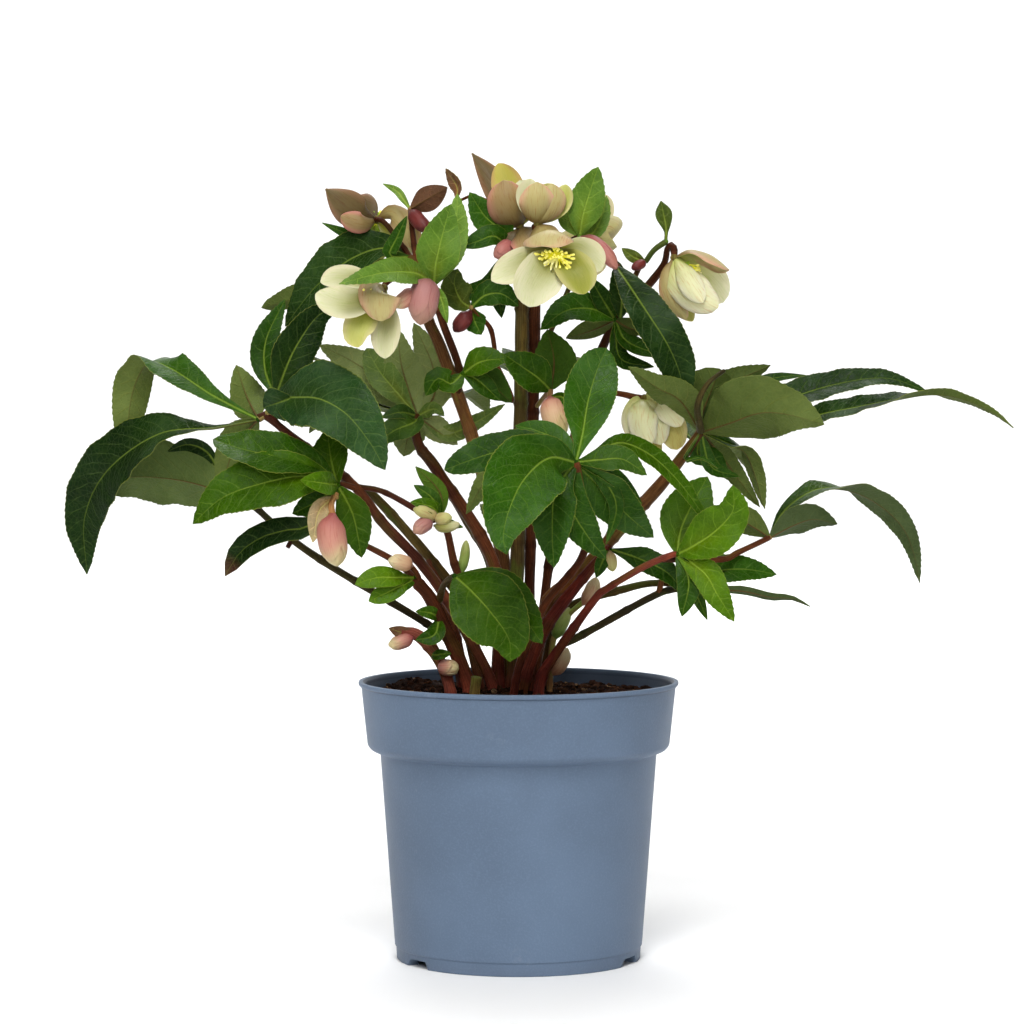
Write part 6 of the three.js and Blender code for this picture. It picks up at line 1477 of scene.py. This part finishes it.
def layFloor():
    # A round floor that bends up into a wall all round, so that no edge shows from any side. The bend is a
    # quarter of a circle: (floor + bend * sin(t), bend * (1 - cos(t))).
    look = stageLook
    flat, bend = look["floor"], look["bend"]
    t = np.linspace(0.1, np.pi / 2, look["bendRings"])
    flatRings = np.linspace(0, flat, look["flatRings"])[1:]
    radius = np.concatenate([flatRings, flat + bend * np.sin(t), [flat + bend]])
    height = np.concatenate([0 * flatRings, bend * (1 - np.cos(t)), [look["rim"] + bend]])
    ring = turned(radius[:, None], height[:, None], look["sides"])
    rows, columns = ring.shape[:2]
    grid = np.arange(rows * columns).reshape(rows, columns)
    after = np.roll(grid, -1, axis=1)
    quads = np.stack([grid[:-1], grid[1:], after[1:], after[:-1]], axis=-1).reshape(-1, 4)
    middle = np.stack([np.full(columns, rows * columns), grid[0], after[0]], axis=1)
    mesh = bpy.data.meshes.new("paleFloor")
    points = np.vstack([ring.reshape(-1, 3), [[0, 0, 0]]])
    mesh.from_pydata(points.tolist(), [], quads.tolist() + middle.tolist())
    mesh.polygons.foreach_set("use_smooth", np.ones(len(mesh.polygons), bool))
    floor = bpy.data.objects.new("paleFloor", mesh)
    bpy.context.scene.collection.objects.link(floor)
    material, tree, shader = newFinish("paleFloor", look["roughness"], look["specular"])
    tone = clouds(tree, ownPlace(tree), 3, 2.0)
    paintWith(tree, shader, mixed(tree, tone, (0.90, 0.90, 0.90), (0.92, 0.92, 0.92)))
    mesh.materials.append(material)


lamps = {  # place, target, size, watts, colour
    "key": ((-0.4, -2.5, 1.7), (0, 0, 0.25), 1.0, 29, (1.0, 0.99, 0.97)),
    "fill": ((0.1, -2.9, 1.0), (0, 0, 0.25), 1.2, 10, (0.98, 0.99, 1.0)),
    "top": ((-0.3, 0.2, 2.4), (0, 0, 0.2), 2.0, 9, (0.98, 0.99, 1.0)),
    "apron": ((0, -1.5, 2.3), (0, -0.9, 0), 1.0, 46, (1.0, 1.0, 1.0)),
    "backLeft": ((-1.6, 2.4, 2.6), (-1.6, 7.0, 1.0), 1.8, 90, (1.0, 1.0, 1.0)),
    "backRight": ((1.6, 2.4, 2.6), (1.6, 7.0, 1.0), 1.8, 90, (1.0, 1.0, 1.0)),
    "backLow": ((0, 1.9, 2.6), (0, 3.2, 0), 1.8, 60, (1.0, 1.0, 1.0)),
    "behind": ((0, 1.3, 2.2), (0, 1.5, 0), 1.6, 18, (1.0, 1.0, 1.0)),
}


def hangLamps():  # each lamp tips by the angle from straight down and turns to its target's bearing
    for name, (spot, target, size, power, colour) in lamps.items():
        lamp = bpy.data.objects.new(name, bpy.data.lights.new(name, "AREA"))
        lamp.data.shape, lamp.data.size = "DISK", size
        lamp.data.energy, lamp.data.color = power, colour
        lamp.location = spot
        x, y, z = np.array(target) - np.array(spot)
        lamp.rotation_euler = (math.atan2(math.hypot(x, y), -z), 0, math.atan2(y, x) - math.pi / 2)
        lamp.visible_camera = False
        bpy.context.scene.collection.objects.link(lamp)
    world = bpy.data.worlds.new("studio")
    bpy.context.scene.world = world
    world.use_nodes = True
    light = world.node_tree.nodes["Background"].inputs
    light["Color"].default_value = (1, 1, 1, 1)
    light["Strength"].default_value = stageLook["worldLight"]


layFloor()
hangLamps()
bpy.context.scene.view_settings.view_transform = "Standard"
bpy.context.scene.view_settings.look = "None"
print("floor and lamps ready")
